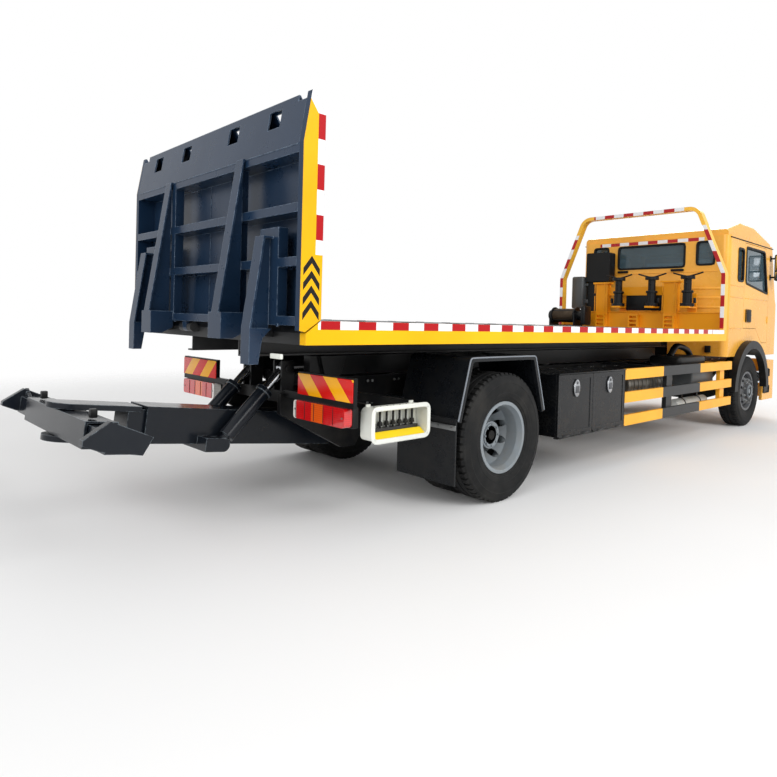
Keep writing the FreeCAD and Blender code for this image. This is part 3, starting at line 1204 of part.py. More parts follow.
def crossbar():
    x, half = "-crossbar_reach", "crossbar_half"
    depth, height = "crossbar_depth / 2", "crossbar_height / 2"
    sleeve = cut("crossbar_sleeve", box(
        "crossbar_stock", (f"{x} - {depth}", f"{x} + {depth}"), (f"-{half}", half),
        (f"-{height}", height)), [box(
            "crossbar_hollow", (f"{x} - {depth} + crossbar_wall", f"{x} + {depth} - crossbar_wall"),
            (f"-({half} + overrun)", f"{half} + overrun"),
            (f"crossbar_wall - {height}", f"{height} - crossbar_wall"))])
    boss = rod("swivel_boss", "z", (x, "0"), f"-{height}", height,
               "swivel_radius + crossbar_wall")
    bore = rod("swivel_bore", "z", (x, "0"), f"-({height} + overrun)", f"{height} + overrun",
               "swivel_radius + pin_play")
    whole = cut("crossbar_bored", fuse("crossbar_solid", [sleeve, boss]), [bore])
    return finish(whole, "crossbar", boomPlace())


def arms():
    """The sliding arms of the crossbar, each with a bracket that a wheel or axle rests in."""
    x = "-crossbar_reach"
    arm = box("arm_beam", (f"{x} - arm_depth / 2", f"{x} + arm_depth / 2"),
              ("arm_start", "arm_end"), ("-arm_height / 2", "arm_height / 2"))
    outline = [(f"{x} + bracket_depth * {a}", f"bracket_height * {b}") for a, b in bracketShares]
    bracket = prism("arm_bracket", "XZ", outline, "arm_end - bracket_thickness", "arm_end")
    gusset = prism("arm_gusset", "YZ", [
        ("arm_end - bracket_nose", "arm_height / 2"), ("arm_end", "arm_height / 2"),
        ("arm_end", f"bracket_height * {bracketShares[1][1]}")],
        f"{x} - bracket_depth * 0.1", f"{x} - bracket_depth * 0.1 + gusset_thickness * 2")
    socket = rod("fork_socket", "z", (x, "fork_socket_half_gap"), "-arm_height", "arm_height",
                 "fork_socket_radius")
    left = fuse("arm_left_whole", [cut("arm_bored", arm, [socket]), bracket, gusset])
    finish(mirror("arm_mirrored", left), "arm_right", boomPlace())
    finish(gather("arm_gathered", [left]), "arm_left", boomPlace())


# Pieces on the frame at the tail

def tailBar():
    span = ("tail_bar_x - tail_bar_thickness / 2", "tail_bar_x + tail_bar_thickness / 2")
    top = "tail_bar_bottom + tail_arm_height"
    arm = box("tail_arm", span, ("frame_outer", "tail_bar_outer"),
              ("tail_bar_bottom", top))
    panel = box("tail_panel", span, ("tail_bar_inner", "tail_bar_outer"),
                (f"{top} - frame_web", f"{top} + tail_bar_height"))
    return finish(pair("tail_bar_pair", fuse("tail_bar_side", [arm, panel])), "tail_bar")


def tailLamps():
    top = "tail_bar_bottom"
    lens = box("tail_lens", ("tail_bar_x - lamp_depth / 2", "tail_bar_x + lamp_depth / 2"),
               ("lamp_inner", "lamp_outer"), (f"{top} - lamp_height", top))
    lens = soften("tail_lens_rounded", lens, "lamp_corner", alongX)
    return finish(pair("tail_lamp_pair", lens), "tail_lamps")


def alongX(centre, way):
    return abs(way.x) > abs(way.y) + abs(way.z)


def alongY(centre, way):
    return abs(way.y) > abs(way.x) + abs(way.z)


def controlBox():
    """The lever box on the right, its rounded face open over the valve block."""
    outer, wall = "side_face", "control_wall"
    x = ("control_rear", "control_front")
    z = ("control_bottom", "control_top")
    case = soften("control_case", box("control_stock", x, (f"-{outer}", f"control_depth - {outer}"),
                                      z), "control_corner", alongY)
    hollow = soften("control_hollow", box(
        "control_hollow_stock", (f"{x[0]} + {wall}", f"{x[1]} - {wall}"),
        (f"-({outer} + overrun)", f"control_depth - {outer} - {wall}"),
        (f"{z[0]} + {wall}", f"{z[1]} - {wall}")), "control_corner - control_wall", alongY)
    items = [cut("control_shell", case, [hollow])]
    items.append(box("valve_block", (f"{x[0]} + control_corner", f"{x[1]} - control_corner"),
                     (f"valve_setback - {outer}", f"control_depth - {outer} - {wall}"),
                     (f"{z[0]} + {wall}", f"{z[0]} + {wall} + valve_height")))
    count = int(size("lever_count"))
    for i in range(count):
        place = (f"{x[0]} + control_corner * 2 + {i} * (control_front - control_rear - "
                 f"control_corner * 4) / {count - 1}")
        items.append(rod(f"lever_{i}", "z", (place, f"lever_setback - {outer}"),
                         f"{z[0]} + {wall} + valve_height - lever_radius",
                         f"{z[0]} + {wall} + valve_height + lever_length", "lever_radius"))
    items.append(box("control_bracket", (f"{x[0]} + control_corner", f"{x[0]} + control_corner * 2"),
                     (f"control_depth - {outer} - {wall} / 2", "-frame_outer"),
                     ("tail_plate_top - side_bracket - control_wall", "tail_plate_top - control_wall")))
    items.append(box("control_bracket_front", (
        f"{x[1]} - control_corner * 2", f"{x[1]} - control_corner"),
        (f"control_depth - {outer} - {wall} / 2", "-frame_outer"),
        ("tail_plate_top - side_bracket - control_wall", "tail_plate_top - control_wall")))
    return finish(fuse("control_whole", items), "control_box")


# Pieces along the sides

def frameArm(name, x, outer, z):
    """A bar from the frame rail's face out to a side piece, on the left."""
    return box(name, (x, f"{x} + side_bracket"), ("frame_outer", outer),
               (z, f"{z} + side_bracket"))


def toolbox():
    outer, wall = "side_face", "toolbox_wall"
    inner = f"{outer} - toolbox_depth"
    stock = box("toolbox_stock", ("toolbox_rear", "toolbox_front"),
                (f"-({outer} - toolbox_door)", f"-({inner})"), ("toolbox_bottom", "toolbox_top"))
    rooms = []
    for word, rear, front in (("rear", "toolbox_rear", "toolbox_split"),
                              ("front", "toolbox_split", "toolbox_front")):
        rooms.append(box(f"toolbox_room_{word}", (f"{rear} + {wall}", f"{front} - {wall}"),
                         (f"-({outer} + overrun)", f"-({inner} + {wall})"),
                         (f"toolbox_bottom + {wall}", f"toolbox_top - {wall}")))
    arms = [mirror(f"toolbox_arm_{number}", frameArm(f"toolbox_arm_{number}_left", x, inner,
                                                     "frame_top - frame_depth + side_bracket"))
            for number, x in enumerate(("toolbox_rear + side_bracket",
                                        "toolbox_front - side_bracket * 2"))]
    whole = fuse("toolbox_whole", [cut("toolbox_case", stock, rooms)] + arms)
    return finish(whole, "toolbox")


def toolboxDoors():
    """Two flush doors that drop down from hinges along their lower edges."""
    outer = "side_face"
    for word, rear, front in (("rear", "toolbox_rear", "toolbox_split"),
                              ("front", "toolbox_split", "toolbox_front")):
        gap = "seam_gap / 2"
        panel = soften(f"toolbox_panel_{word}", box(
            f"toolbox_panel_{word}_stock", (f"{rear} + {gap}", f"{front} - {gap}"),
            (f"-{outer}", f"-({outer} - toolbox_door + moving_gap)"),
            (f"toolbox_bottom + {gap}", f"toolbox_top - {gap}")), "door_corner", alongY)
        panel = cut(f"toolbox_panel_{word}_pressed", panel, [box(
            f"toolbox_recess_{word}", (f"{rear} + door_border", f"{front} - door_border"),
            (f"-({outer} + overrun)", f"-({outer} - door_recess)"),
            ("toolbox_bottom + door_border", "toolbox_top - door_border"))])
        roll = rod(f"toolbox_roll_{word}", "x", (f"-{outer}", f"toolbox_bottom + {gap}"),
                   f"{rear} + {gap} + door_corner", f"{front} - {gap} - door_corner",
                   "door_roll_radius")
        middle = f"({rear} + {front}) / 2"
        lock = rod(f"toolbox_lock_{word}", "y", (middle, "toolbox_top - toolbox_lock_drop"),
                   f"-({outer} + toolbox_lock_depth)", f"-({outer} - toolbox_door / 2)",
                   "toolbox_lock_radius")
        finish(fuse(f"toolbox_door_{word}_whole", [panel, roll, lock]), f"toolbox_door_{word}")


def fuelTank():
    inner = "side_face - tank_depth"
    tank = soften("tank_body", box("tank_stock", ("tank_rear", "tank_front"),
                                   (inner, "side_face"), ("tank_bottom", "tank_bottom + tank_height")),
                  "tank_corner", alongX)
    items = [tank]
    for number, x in enumerate(("tank_rear + tank_corner", "tank_front - tank_corner - tank_strap")):
        strap = soften(f"tank_strap_{number}", box(
            f"tank_strap_{number}_stock", (x, f"{x} + tank_strap"),
            (f"{inner} - frame_web / 2", "side_face + frame_web / 2"),
            ("tank_bottom - frame_web / 2", "tank_bottom + tank_height + frame_web / 2")),
            "tank_corner", alongX)
        items += [strap, frameArm(f"tank_arm_{number}", x, f"{inner} + tank_corner",
                                  "frame_top - frame_depth + side_bracket / 2")]
    items.append(rod("tank_cap", "y", ("tank_front - tank_corner * 2",
                                       "tank_bottom + tank_height - tank_corner"),
                     "side_face - overrun", "side_face + frame_web * 2", "tank_cap_radius"))
    return finish(fuse("tank_whole", items), "fuel_tank")


def sideGuards():
    """Three rails on posts that keep people from under the truck's side."""
    face, depth, height = "side_face", "guard_rail_depth", "guard_rail_height"
    gap = f"(guard_top - guard_bottom - {height}) / 2"
    items = []
    for row in range(3):
        low = f"guard_bottom + {row} * {gap}"
        items.append(box(f"guard_rail_{row}", ("guard_rear", "guard_front"),
                         (f"{face} - {depth}", face), (low, f"{low} + {height}")))
    for word, x in (("rear", "guard_post_rear"), ("front", "guard_post_front")):
        items.append(box(f"guard_post_{word}", (x, f"{x} + guard_post_width"),
                         (f"{face} - {depth} - guard_post_depth", f"{face} - {depth}"),
                         ("guard_bottom", "guard_top")))
        items.append(box(f"guard_arm_{word}", (x, f"{x} + side_bracket"),
                         ("frame_outer", f"{face} - {depth} - guard_post_depth / 2"),
                         ("frame_top - guard_arm_height", "frame_top")))
    return finish(pair("guard_pair", fuse("guard_side", items)), "side_guards")


def silencer():
    centre = ("silencer_y", "silencer_height")
    can = rod("silencer_can", "x", centre, "silencer_rear", "silencer_front", "silencer_radius")
    pipe = rod("silencer_pipe", "x", centre, "silencer_front - overrun",
               "silencer_front + silencer_radius * 3", "silencer_radius / 3")
    items = [can, pipe]
    for number, x in enumerate(("silencer_rear + side_bracket", "silencer_front - side_bracket * 2")):
        items.append(mirror(f"silencer_arm_{number}", frameArm(
            f"silencer_arm_{number}_left", x, "-silencer_y - silencer_radius / 2",
            "frame_top - frame_depth + side_bracket")))
    return finish(fuse("silencer_whole", items), "silencer")


def fenderPath():
    points = (("fender_rear", "fender_bottom"), ("fender_top_rear", "fender_top"),
              ("fender_top_front", "fender_top"), ("fender_front", "fender_bottom"))
    return [tuple(sizes(a, b)) for a, b in points]


def rearFenders():
    """Folded covers over the rear wheels, with a deeper outer rim and a hanging flap."""
    path, bend = fenderPath(), size("fender_bend")
    radii = (0, bend, bend, 0)
    outer, inner, rimInner, sheetTop, rimDepth = sizes(
        "fender_outer", "fender_outer - fender_width", "fender_outer - fender_rim", "fender_sheet",
        "fender_rim")
    cover = carrier("fender_cover", band("XZ", path, radii, sheetTop, inner, outer))
    rim = carrier("fender_edge", band("XZ", path, radii, rimDepth, rimInner, outer))
    flap = box("mud_flap", ("fender_rear - flap_thickness / 2", "fender_rear + flap_thickness / 2"),
               ("fender_outer - fender_width", "fender_outer - overrun"),
               ("flap_bottom", "fender_bottom + overrun"))
    items = [cover, rim, flap]
    for number, x in enumerate(("fender_rear + side_bracket / 2", "fender_front - side_bracket * 1.5")):
        items.append(box(f"fender_arm_{number}", (x, f"{x} + side_bracket"),
                         ("frame_outer", "fender_outer - fender_width + overrun"),
                         ("fender_bottom + side_bracket", "fender_bottom + side_bracket * 2")))
    return finish(pair("fender_pair", fuse("fender_side", items)), "rear_fenders")


def intakeStack():
    """The raised air intake and its duct behind the cab."""
    x = ("intake_x", "intake_x + intake_depth")
    head = soften("intake_head", box("intake_head_stock", x, ("intake_inner", "intake_outer"),
                                     ("intake_neck", "intake_top")), "lamp_corner", alongX)
    duct = box("intake_duct", ("intake_x + intake_depth / 4", "intake_x + intake_depth * 3 / 4"),
               ("intake_outer - intake_duct", "intake_outer - frame_web"),
               ("frame_top - frame_depth / 2", "intake_neck + overrun"))
    foot = box("intake_foot", ("intake_x + intake_depth / 4", "intake_x + intake_depth * 3 / 4"),
               ("frame_outer", "intake_outer - frame_web"),
               ("frame_top - frame_depth / 2", "frame_top - frame_depth / 2 + side_bracket"))
    return finish(fuse("intake_whole", [head, duct, foot]), "intake_stack")


# The tilting cab

def cabProfile(inset):
    """The cab's side outline, moved inwards by a wall."""
    lean = "(screen_bottom_x - screen_top_x) / (gutter_height - screen_bottom)"
    high = "gutter_height" if inset == "0" else "gutter_height + overrun"
    low = "cab_bottom" if inset == "0" else "floor_height"
    return [(f"cab_rear + {inset}", low), (f"cab_front - {inset}", low),
            (f"cab_front - {inset}", "nose_height"),
            (f"screen_bottom_x - {inset}", "screen_bottom"),
            (f"screen_bottom_x - {inset} - ({high} - screen_bottom) * {lean}", high),
            (f"cab_rear + {inset}", high)]


def doorOutline(gap):
    """The door's outline in the cab's side, less a gap all round."""
    rear, front = f"door_rear + {gap}", f"door_front - {gap}"
    return [(rear, f"door_seam + {gap}"),
            (f"door_step_rear + {gap} / 2", f"door_seam + {gap}"),
            (f"door_step_front + {gap} / 2", f"door_bottom + {gap}"),
            (front, f"door_bottom + {gap}"), (front, "sill_height"),
            (f"{front} - pillar_lean", f"gutter_height - door_top_drop - {gap}"),
            (rear, f"gutter_height - door_top_drop - {gap}")]


def hingePlaces():
    return (("low", "hinge_low"), ("high", "hinge_high"))


def hingeAxis():
    return ("door_front - seam_gap - hinge_setback", "cab_half_width - hinge_inset")


def cabShell():
    half, wall = "cab_half_width", "cab_wall"
    shell = cut("cab_walls", soften("cab_outer", prism(
        "cab_stock", "XZ", cabProfile("0"), f"-{half}", half), "cab_corner", cabCorner), [prism(
            "cab_inside", "XZ", cabProfile(wall), f"{wall} - {half}", f"{half} - {wall}")])
    tunnel = cut("cab_tunnel", box("tunnel_stock", ("cab_rear", "dash_front"), (
        "-tunnel_half_width", "tunnel_half_width"), ("cab_bottom", "tunnel_height")), [box(
            "tunnel_hollow", ("cab_rear - overrun", f"dash_front - {wall}"), (
                f"{wall} - tunnel_half_width", f"tunnel_half_width - {wall}"),
            ("cab_bottom - overrun", f"tunnel_height - {wall}"))])
    underTunnel = box("tunnel_opening", ("cab_rear - overrun", f"dash_front - {wall}"), (
        f"{wall} - tunnel_half_width", f"tunnel_half_width - {wall}"),
        ("cab_bottom - overrun", f"tunnel_height - {wall}"))
    tools = [underTunnel]
    for side, low, high in (("right", f"-({half} + overrun)", "-arch_inner"),
                            ("left", "arch_inner", f"{half} + overrun")):
        tools.append(rod(f"arch_cut_{side}", "y", ("wheelbase", "tyre_radius"), low, high,
                         "arch_radius + arch_liner"))
    tools += cabOpenings("cab_cut", "overrun")
    for side, low, high in (("right", f"-({half} + overrun)", f"overrun + {wall} - {half}"),
                            ("left", f"{half} - {wall} - overrun", f"{half} + overrun")):
        tools.append(prism(f"door_cut_{side}", "XZ", doorOutline("0"), low, high))
    tools.append(box("grille_recess", ("cab_front - grille_depth", "cab_front + overrun"),
                     ("-grille_half", "grille_half"), ("grille_bottom", "grille_top")))
    body = cut("cab_body", fuse("cab_solid", [shell, tunnel]), tools)
    items = [body]
    count = int(size("grille_bars"))
    for i in range(count):
        low = f"grille_bottom + ({i} + 0.5) * (grille_top - grille_bottom) / {count}"
        items.append(prism(f"grille_bar_{i}", "XZ", [
            ("cab_front - grille_depth - overrun / 2", low),
            ("cab_front - grille_depth - overrun / 2", f"{low} + grille_bar"),
            ("cab_front - frame_web / 2", f"{low} + grille_bar / 2"),
            ("cab_front - frame_web / 2", low)],
            "-(grille_half + overrun / 2)", "grille_half + overrun / 2"))
    for word, low in hingePlaces():
        items += doorHinge(word, low)
    items += cabLugs()
    return finish(fuse("cab_whole", items), "cab_shell")


def cabCorner(centre, way):
    """The upright edges at the cab's back and nose."""
    return abs(way.z) > abs(way.x) + abs(way.y)


def doorHinge(word, low):
    """Both sides' fixed hinge knuckle with the leaf that carries it."""
    x, y = hingeAxis()
    z = (low, f"{low} + hinge_height")
    barrel = cut(f"hinge_{word}", fuse(f"hinge_{word}_solid", [
        rod(f"hinge_{word}_barrel", "z", (x, y), *z, "hinge_radius"),
        box(f"hinge_{word}_leaf", (x, "door_front + overrun"),
            (f"{y} - hinge_radius", "cab_half_width"), z)]), [
        rod(f"hinge_{word}_bore", "z", (x, y), f"{low} - overrun",
            f"{low} + hinge_height + overrun", "hinge_pin_radius + pin_play")])
    return [barrel, mirror(f"hinge_{word}_other", barrel)]


def cabLugs():
    """The eyes under the cab's nose that turn on the frame's pins."""
    outer = "frame_outer - cab_lug_width - moving_gap"
    span = (f"{outer} - cab_lug_width", outer)
    pivot = ("cab_pivot_x", "cab_pivot_height")
    lug = cut("cab_lug", fuse("cab_lug_solid", [
        rod("cab_lug_eye", "y", pivot, *span, "cab_lug_radius"),
        box("cab_lug_neck", ("cab_pivot_x - cab_lug_radius", "cab_pivot_x + cab_lug_radius"),
            span, ("cab_pivot_height", "cab_bottom + overrun"))]), [
        rod("cab_lug_bore", "y", pivot, f"{outer} - cab_lug_width * 2", f"{outer} + overrun",
            "cab_pin_radius + pin_play")])
    return [lug, mirror("cab_lug_other", lug)]


def screenOutline(through):
    """The windscreen's slanted slab, seen from the side."""
    lean = "(screen_bottom_x - screen_top_x) / (gutter_height - screen_bottom)"
    low, high = "screen_bottom + window_border", "gutter_height - screen_top_drop"
    if through == "overrun":
        front, back = "overrun", "cab_wall + overrun"
    else:
        front, back = "cab_wall / 2 - glass_thickness / 2", "cab_wall / 2 + glass_thickness / 2"
    return [(f"screen_bottom_x {sign} ({depth}) - ({z} - screen_bottom) * {lean}", z)
            for sign, depth, z in (
                ("+" if through == "overrun" else "-", front, low), ("-", back, low),
                ("-", back, high), ("+" if through == "overrun" else "-", front, high))]


def cabOpenings(name, through):
    """Slabs at the cab's fixed windows, for cutting them or for their panes."""
    half, wall = "cab_half_width", "cab_wall"
    if through == "overrun":
        rear = ("cab_rear - overrun", f"cab_rear + {wall} + overrun")
        left = (f"{half} - {wall} - overrun", f"{half} + overrun")
    else:
        middle = f"{wall} / 2 - glass_thickness / 2"
        rear = (f"cab_rear + {middle}", f"cab_rear + {middle} + glass_thickness")
        left = (f"{half} - {middle} - glass_thickness", f"{half} - {middle}")
    heights = {word: (f"gutter_height - {word}_drop - {word}_height", f"gutter_height - {word}_drop")
               for word in ("rear_window", "side_window", "quarter")}
    side = box(f"{name}_rear_side", rear, ("side_window_inner", "side_window_outer"),
               heights["side_window"])
    quarter = box(f"{name}_quarter", ("quarter_rear", "quarter_front"), left, heights["quarter"])
    return [
        box(f"{name}_rear_middle", rear, ("-rear_window_half", "rear_window_half"),
            heights["rear_window"]),
        side, mirror(f"{name}_rear_side_other", side), quarter,
        mirror(f"{name}_quarter_other", quarter),
        prism(f"{name}_screen", "XZ", screenOutline(through), "-screen_half", "screen_half")]


def cabGlass():
    return finish(gather("cab_panes", cabOpenings("cab_pane", "glass")), "cab_glass")


def roofCap():
    """The tall roof moulding, a hollow shell that closes the cab's top."""
    half = "cab_half_width - roof_inset"

    def profile(shift, low):
        rear, front = f"cab_rear + roof_inset + {shift}", f"screen_top_x - roof_inset - {shift}"
        return [(rear, low), (front, low),
                (f"{front} - roof_front_run", f"gutter_height + roof_front_rise - {shift}"),
                ("roof_crest_front", f"gutter_height + roof_rise - {shift}"),
                ("roof_crest_rear", f"gutter_height + roof_rise - {shift}"),
                (rear, f"gutter_height + roof_rear_rise - {shift}")]

    outer = soften("roof_outer", prism("roof_stock", "XZ", profile("0", "gutter_height"),
                                       f"-({half})", half), "roof_corner", roofEdge)
    inner = prism("roof_hollow", "XZ", profile("roof_wall", "gutter_height - overrun"),
                  f"roof_wall * 3 - ({half})", f"{half} - roof_wall * 3")
    return finish(cut("roof_shell", outer, [inner]), "roof_cap")


def roofEdge(centre, way):
    """The roof's long upper edges, which run fore and aft."""
    return abs(way.y) < abs(way.x) and centre.z > size("gutter_height + roof_corner / 2")


def wheelArches():
    """Liners over the front wheels with flares that stand out from the cab's sides."""
    low, centre = "arch_bottom", ("wheelbase", "tyre_radius")
    inner, outer, edge = "arch_inner", "cab_half_width", "arch_outer"
    ring = fuse("arch_solid", [
        rod("arch_liner_outer", "y", centre, inner, edge, "arch_radius + arch_liner"),
        rod("arch_flare_outer", "y", centre, outer, edge, "arch_flare")])
    hollow = rod("arch_hollow", "y", centre, f"{inner} + arch_liner", f"{edge} + overrun",
                 "arch_radius")
    below = box("arch_below", ("wheelbase - arch_flare - overrun", "wheelbase + arch_flare + overrun"),
                (f"{inner} - overrun", f"{outer}"),
                ("tyre_radius - arch_flare - overrun", "cab_bottom"))
    under = box("arch_under", ("wheelbase - arch_flare - overrun", "wheelbase + arch_flare + overrun"),
                (f"{outer} - overrun", f"{edge} + overrun"),
                ("tyre_radius - arch_flare - overrun", low))
    arch = cut("arch_side", ring, [hollow, below, under])
    return finish(pair("arch_pair", arch), "wheel_arches")


def seats():
    """Two high-backed seats on boxes beside the tunnel."""
    low, high = "seat_half_gap - seat_width / 2", "seat_half_gap + seat_width / 2"
    front = "seat_rear + seat_back_depth + seat_depth"
    items = [
        box("seat_box", ("seat_rear + seat_back_depth", front),
            (f"{low} + window_border", "arch_inner - frame_web"),
            ("floor_height", "tunnel_height")),
        soften("seat_cushion", box("seat_cushion_stock", ("seat_rear + overrun", front), (low, high),
                                   ("tunnel_height", "tunnel_height + seat_height")),
               "seat_corner", alongY),
        prism("seat_back", "XZ", [
            ("seat_rear", "tunnel_height"), ("seat_rear + seat_back_depth", "tunnel_height"),
            ("seat_rear + seat_back_depth - seat_corner",
             "tunnel_height + seat_height + seat_back_height"),
            ("seat_rear - seat_corner", "tunnel_height + seat_height + seat_back_height")],
            f"{low} + seat_corner / 2", f"{high} - seat_corner / 2")]
    return finish(pair("seat_pair", fuse("seat", items)), "seats")


def dashboard():
    side, low = "cab_half_width - cab_wall - dash_side_gap", "tunnel_height + dash_rise"
    shelf = prism("dash_body", "XZ", [
        ("dash_rear + window_border", low), ("cab_front - cab_wall", low),
        ("cab_front - cab_wall", "dash_top"),
        ("dash_rear + window_border * 2", "dash_top"), ("dash_rear", "dash_top - window_border * 2")],
        f"-({side})", side)
    centre = Vector(*sizes("steer_x", "seat_half_gap", "steer_z"))
    lean = Rotation(ACROSS, -size("steer_tilt"))
    rim, tube = sizes("steer_wheel_radius", "steer_rim_radius")
    way = lean.multVec(Vector(0, 0, 1))
    wheel = Part.makeTorus(rim, tube, centre, way)
    hub = Part.makeCylinder(tube * 3, tube * 2, centre - way * tube, way)
    column = Part.makeCylinder(tube * 2, size("dash_rear - steer_x + steer_wheel_radius * 2"),
                               centre, way * -1)
    spokes = [Part.makeCylinder(tube / 2, rim, centre, lean.multVec(Vector(
        math.cos(math.radians(turn)), math.sin(math.radians(turn)), 0)))
        for turn in spokeTurns]
    steering = wheel.fuse([hub, column] + spokes)
    return finish(fuse("dash_whole", [shelf, carrier("steering_wheel", steering)]), "dashboard")


# Directions of the steering wheel's spokes, in degrees
spokeTurns = (90, -90, 180)


def mirrors():
    """Tall mirror housings, each on two arms ahead of the door."""
    inner = "cab_half_width + mirror_reach - mirror_width"
    span = ("mirror_x", "mirror_x + mirror_depth")
    case = soften("mirror_case", box("mirror_stock", span, (inner, "cab_half_width + mirror_reach"),
                                     ("mirror_top - mirror_height", "mirror_top")),
                  "mirror_corner", alongX)
    items = [case]
    for word, z in (("upper", "mirror_top - mirror_corner * 2"),
                    ("lower", "mirror_top - mirror_height + mirror_corner * 2")):
        items.append(rod(f"mirror_arm_{word}", "y", ("mirror_x + mirror_depth / 2", z),
                         "cab_half_width", f"{inner} + overrun", "mirror_arm_radius"))
    return finish(pair("mirror_pair", fuse("mirror_side", items)), "mirrors")


def doors():
    """The cab's two doors, each with its window, handle and hinge pins."""
    half, gap = "cab_half_width", "seam_gap"
    panel = prism("door_panel", "XZ", doorOutline(gap), f"{half} - cab_wall", half)
    border = "window_border"
    window = prism("door_window", "XZ", [
        (f"door_rear + {border}", "sill_height"),
        (f"door_front - {border}", "sill_height - sill_drop"),
        (f"door_front - {border} - pillar_lean", f"gutter_height - door_top_drop - {border}"),
        (f"door_rear + {border}", f"gutter_height - door_top_drop - {border}")],
        f"{half} - cab_wall - overrun", f"{half} + overrun")
    x, y = hingeAxis()
    notches, pins = [window], []
    for word, low in hingePlaces():
        notches.append(box(f"door_notch_{word}", (f"{x} - hinge_radius - {gap}", "door_front"),
                           (f"{half} - cab_wall - overrun", f"{half} + overrun"),
                           (f"{low} - {gap}", f"{low} + hinge_height + {gap}")))
        pins.append(rod(f"door_pin_{word}", "z", (x, y), f"{low} - {gap} * 3",
                        f"{low} + hinge_height + {gap} * 3", "hinge_pin_radius"))
    handle = cut("door_handle", box(
        "handle_stock", ("handle_rear", "handle_front"), (half, f"{half} + handle_depth"),
        ("handle_bottom", "handle_top")), [box(
            "handle_slot", ("handle_rear + overrun", "handle_front - overrun"),
            (f"{half} + handle_depth / 2", f"{half} + handle_depth + overrun"),
            ("handle_bottom + overrun", "handle_top - handle_grip - overrun"))])
    left = fuse("door_whole", [cut("door_cut", panel, notches), handle] + pins)
    finish(mirror("door_mirrored", left), "door_right")
    finish(gather("door_gathered", [left]), "door_left")


def bumper():
    """A hollow front bumper with steps that turn back along the sides."""
    half, wall, corner = sizes("bumper_half_width", "bumper_wall", "bumper_corner")
    rear, front, low, high = sizes("bumper_rear", "wheelbase + front_overhang",
                                   "bumper_bottom", "bumper_top")
    path = [(rear, -half), (front, -half), (front, half), (rear, half)]
    shell = carrier("bumper_band", band("XY", path, (0, corner, corner, 0), -wall, low, high))
    lampX = ("cab_front - headlamp_depth", "wheelbase + front_overhang + overrun")
    lampZ = ("headlamp_bottom", "headlamp_bottom + headlamp_height")
    openings = []
    for sign, word in (("", "left"), ("-", "right")):
        openings.append(box(f"headlamp_cut_{word}", lampX, (
            f"{sign}lamp_half_gap - headlamp_width / 2", f"{sign}lamp_half_gap + headlamp_width / 2"),
            lampZ))
    openings.append(box("bumper_air_cut", lampX, ("-grille_half", "grille_half"),
                        ("bumper_bottom + headlamp_height", "bumper_bottom + headlamp_height * 2")))
    items = [cut("bumper_cut", shell, openings)]
    for side in ("left", "right"):
        bracket = box(f"bumper_bracket_{side}", (
            "frame_front", "wheelbase + front_overhang - bumper_wall / 2"),
            ("frame_outer - flange_width", "frame_outer"),
            ("frame_top - frame_depth", "frame_top - cab_lug_radius * 3 - frame_web"))
        items.append(bracket if side == "left" else mirror("bumper_bracket_other", items[-1]))
    return finish(fuse("bumper_whole", items), "bumper")


def headlamps():
    lens = soften("headlamp_lens", box("headlamp_stock", (
        "wheelbase + front_overhang - bumper_wall", "wheelbase + front_overhang"),
        ("lamp_half_gap - headlamp_width / 2", "lamp_half_gap + headlamp_width / 2"),
        ("headlamp_bottom", "headlamp_bottom + headlamp_height")), "frame_web", alongY)
    return finish(pair("headlamp_pair", lens), "headlamps")


# Making every sub-part, checking it and writing it

def build():
    chassisFrame()
    frontAxle()
    rearAxle()
    driveline()
    wheels()
    knuckles()
    tiltFrame()
    cylinders(("tilt_barrel_x", "tilt_barrel_height"), ("tilt_rod_x", "tilt_rod_height"),
              "tilt_cylinder_half_gap", "tilt_barrel_radius", "tilt_rod_radius",
              "tilt_rod_back", ("tilt_barrels", "tilt_rods"))
    cylinders(("lift_lower_x", "lift_lower_height"), ("lift_upper_x", "lift_upper_height"),
              "lift_cylinder_half_gap", "lift_barrel_radius", "lift_rod_radius",
              "lift_rod_back", ("lift_barrels", "lift_rods"))
    for make in (deckPlatform, sideRails, headboard, forkStands, rollHoop, winch, rampFrame,
                 rampSides, boom, extension, crossbar, arms, tailBar, tailLamps, controlBox,
                 toolbox, toolboxDoors, fuelTank, sideGuards, silencer, rearFenders, intakeStack,
                 cabShell, cabGlass, roofCap, wheelArches, seats, dashboard, mirrors, doors,
                 bumper, headlamps):
        make()


def checkAll():
    doc.recompute()
    faults = [f"{item.Name} failed: {item.State}" for item in doc.Objects
              if {"Invalid", "Error"} & set(item.State)]
    for item in subparts:
        shape = item.Shape
        if shape.isNull() or not shape.isValid() or shape.Volume <= 0:
            faults.append(f"{item.Label} has no valid solid")
    if faults:
        raise RuntimeError("; ".join(faults))


build()
checkAll()
os.makedirs("parts", exist_ok=True)
for item in subparts:
    item.Shape.exportStep(f"parts/{item.Label}.step")
    print(item.Label, len(item.Shape.Solids), len(item.Shape.Faces))
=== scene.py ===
import math

import bmesh
import bpy
from mathutils import Matrix, Vector


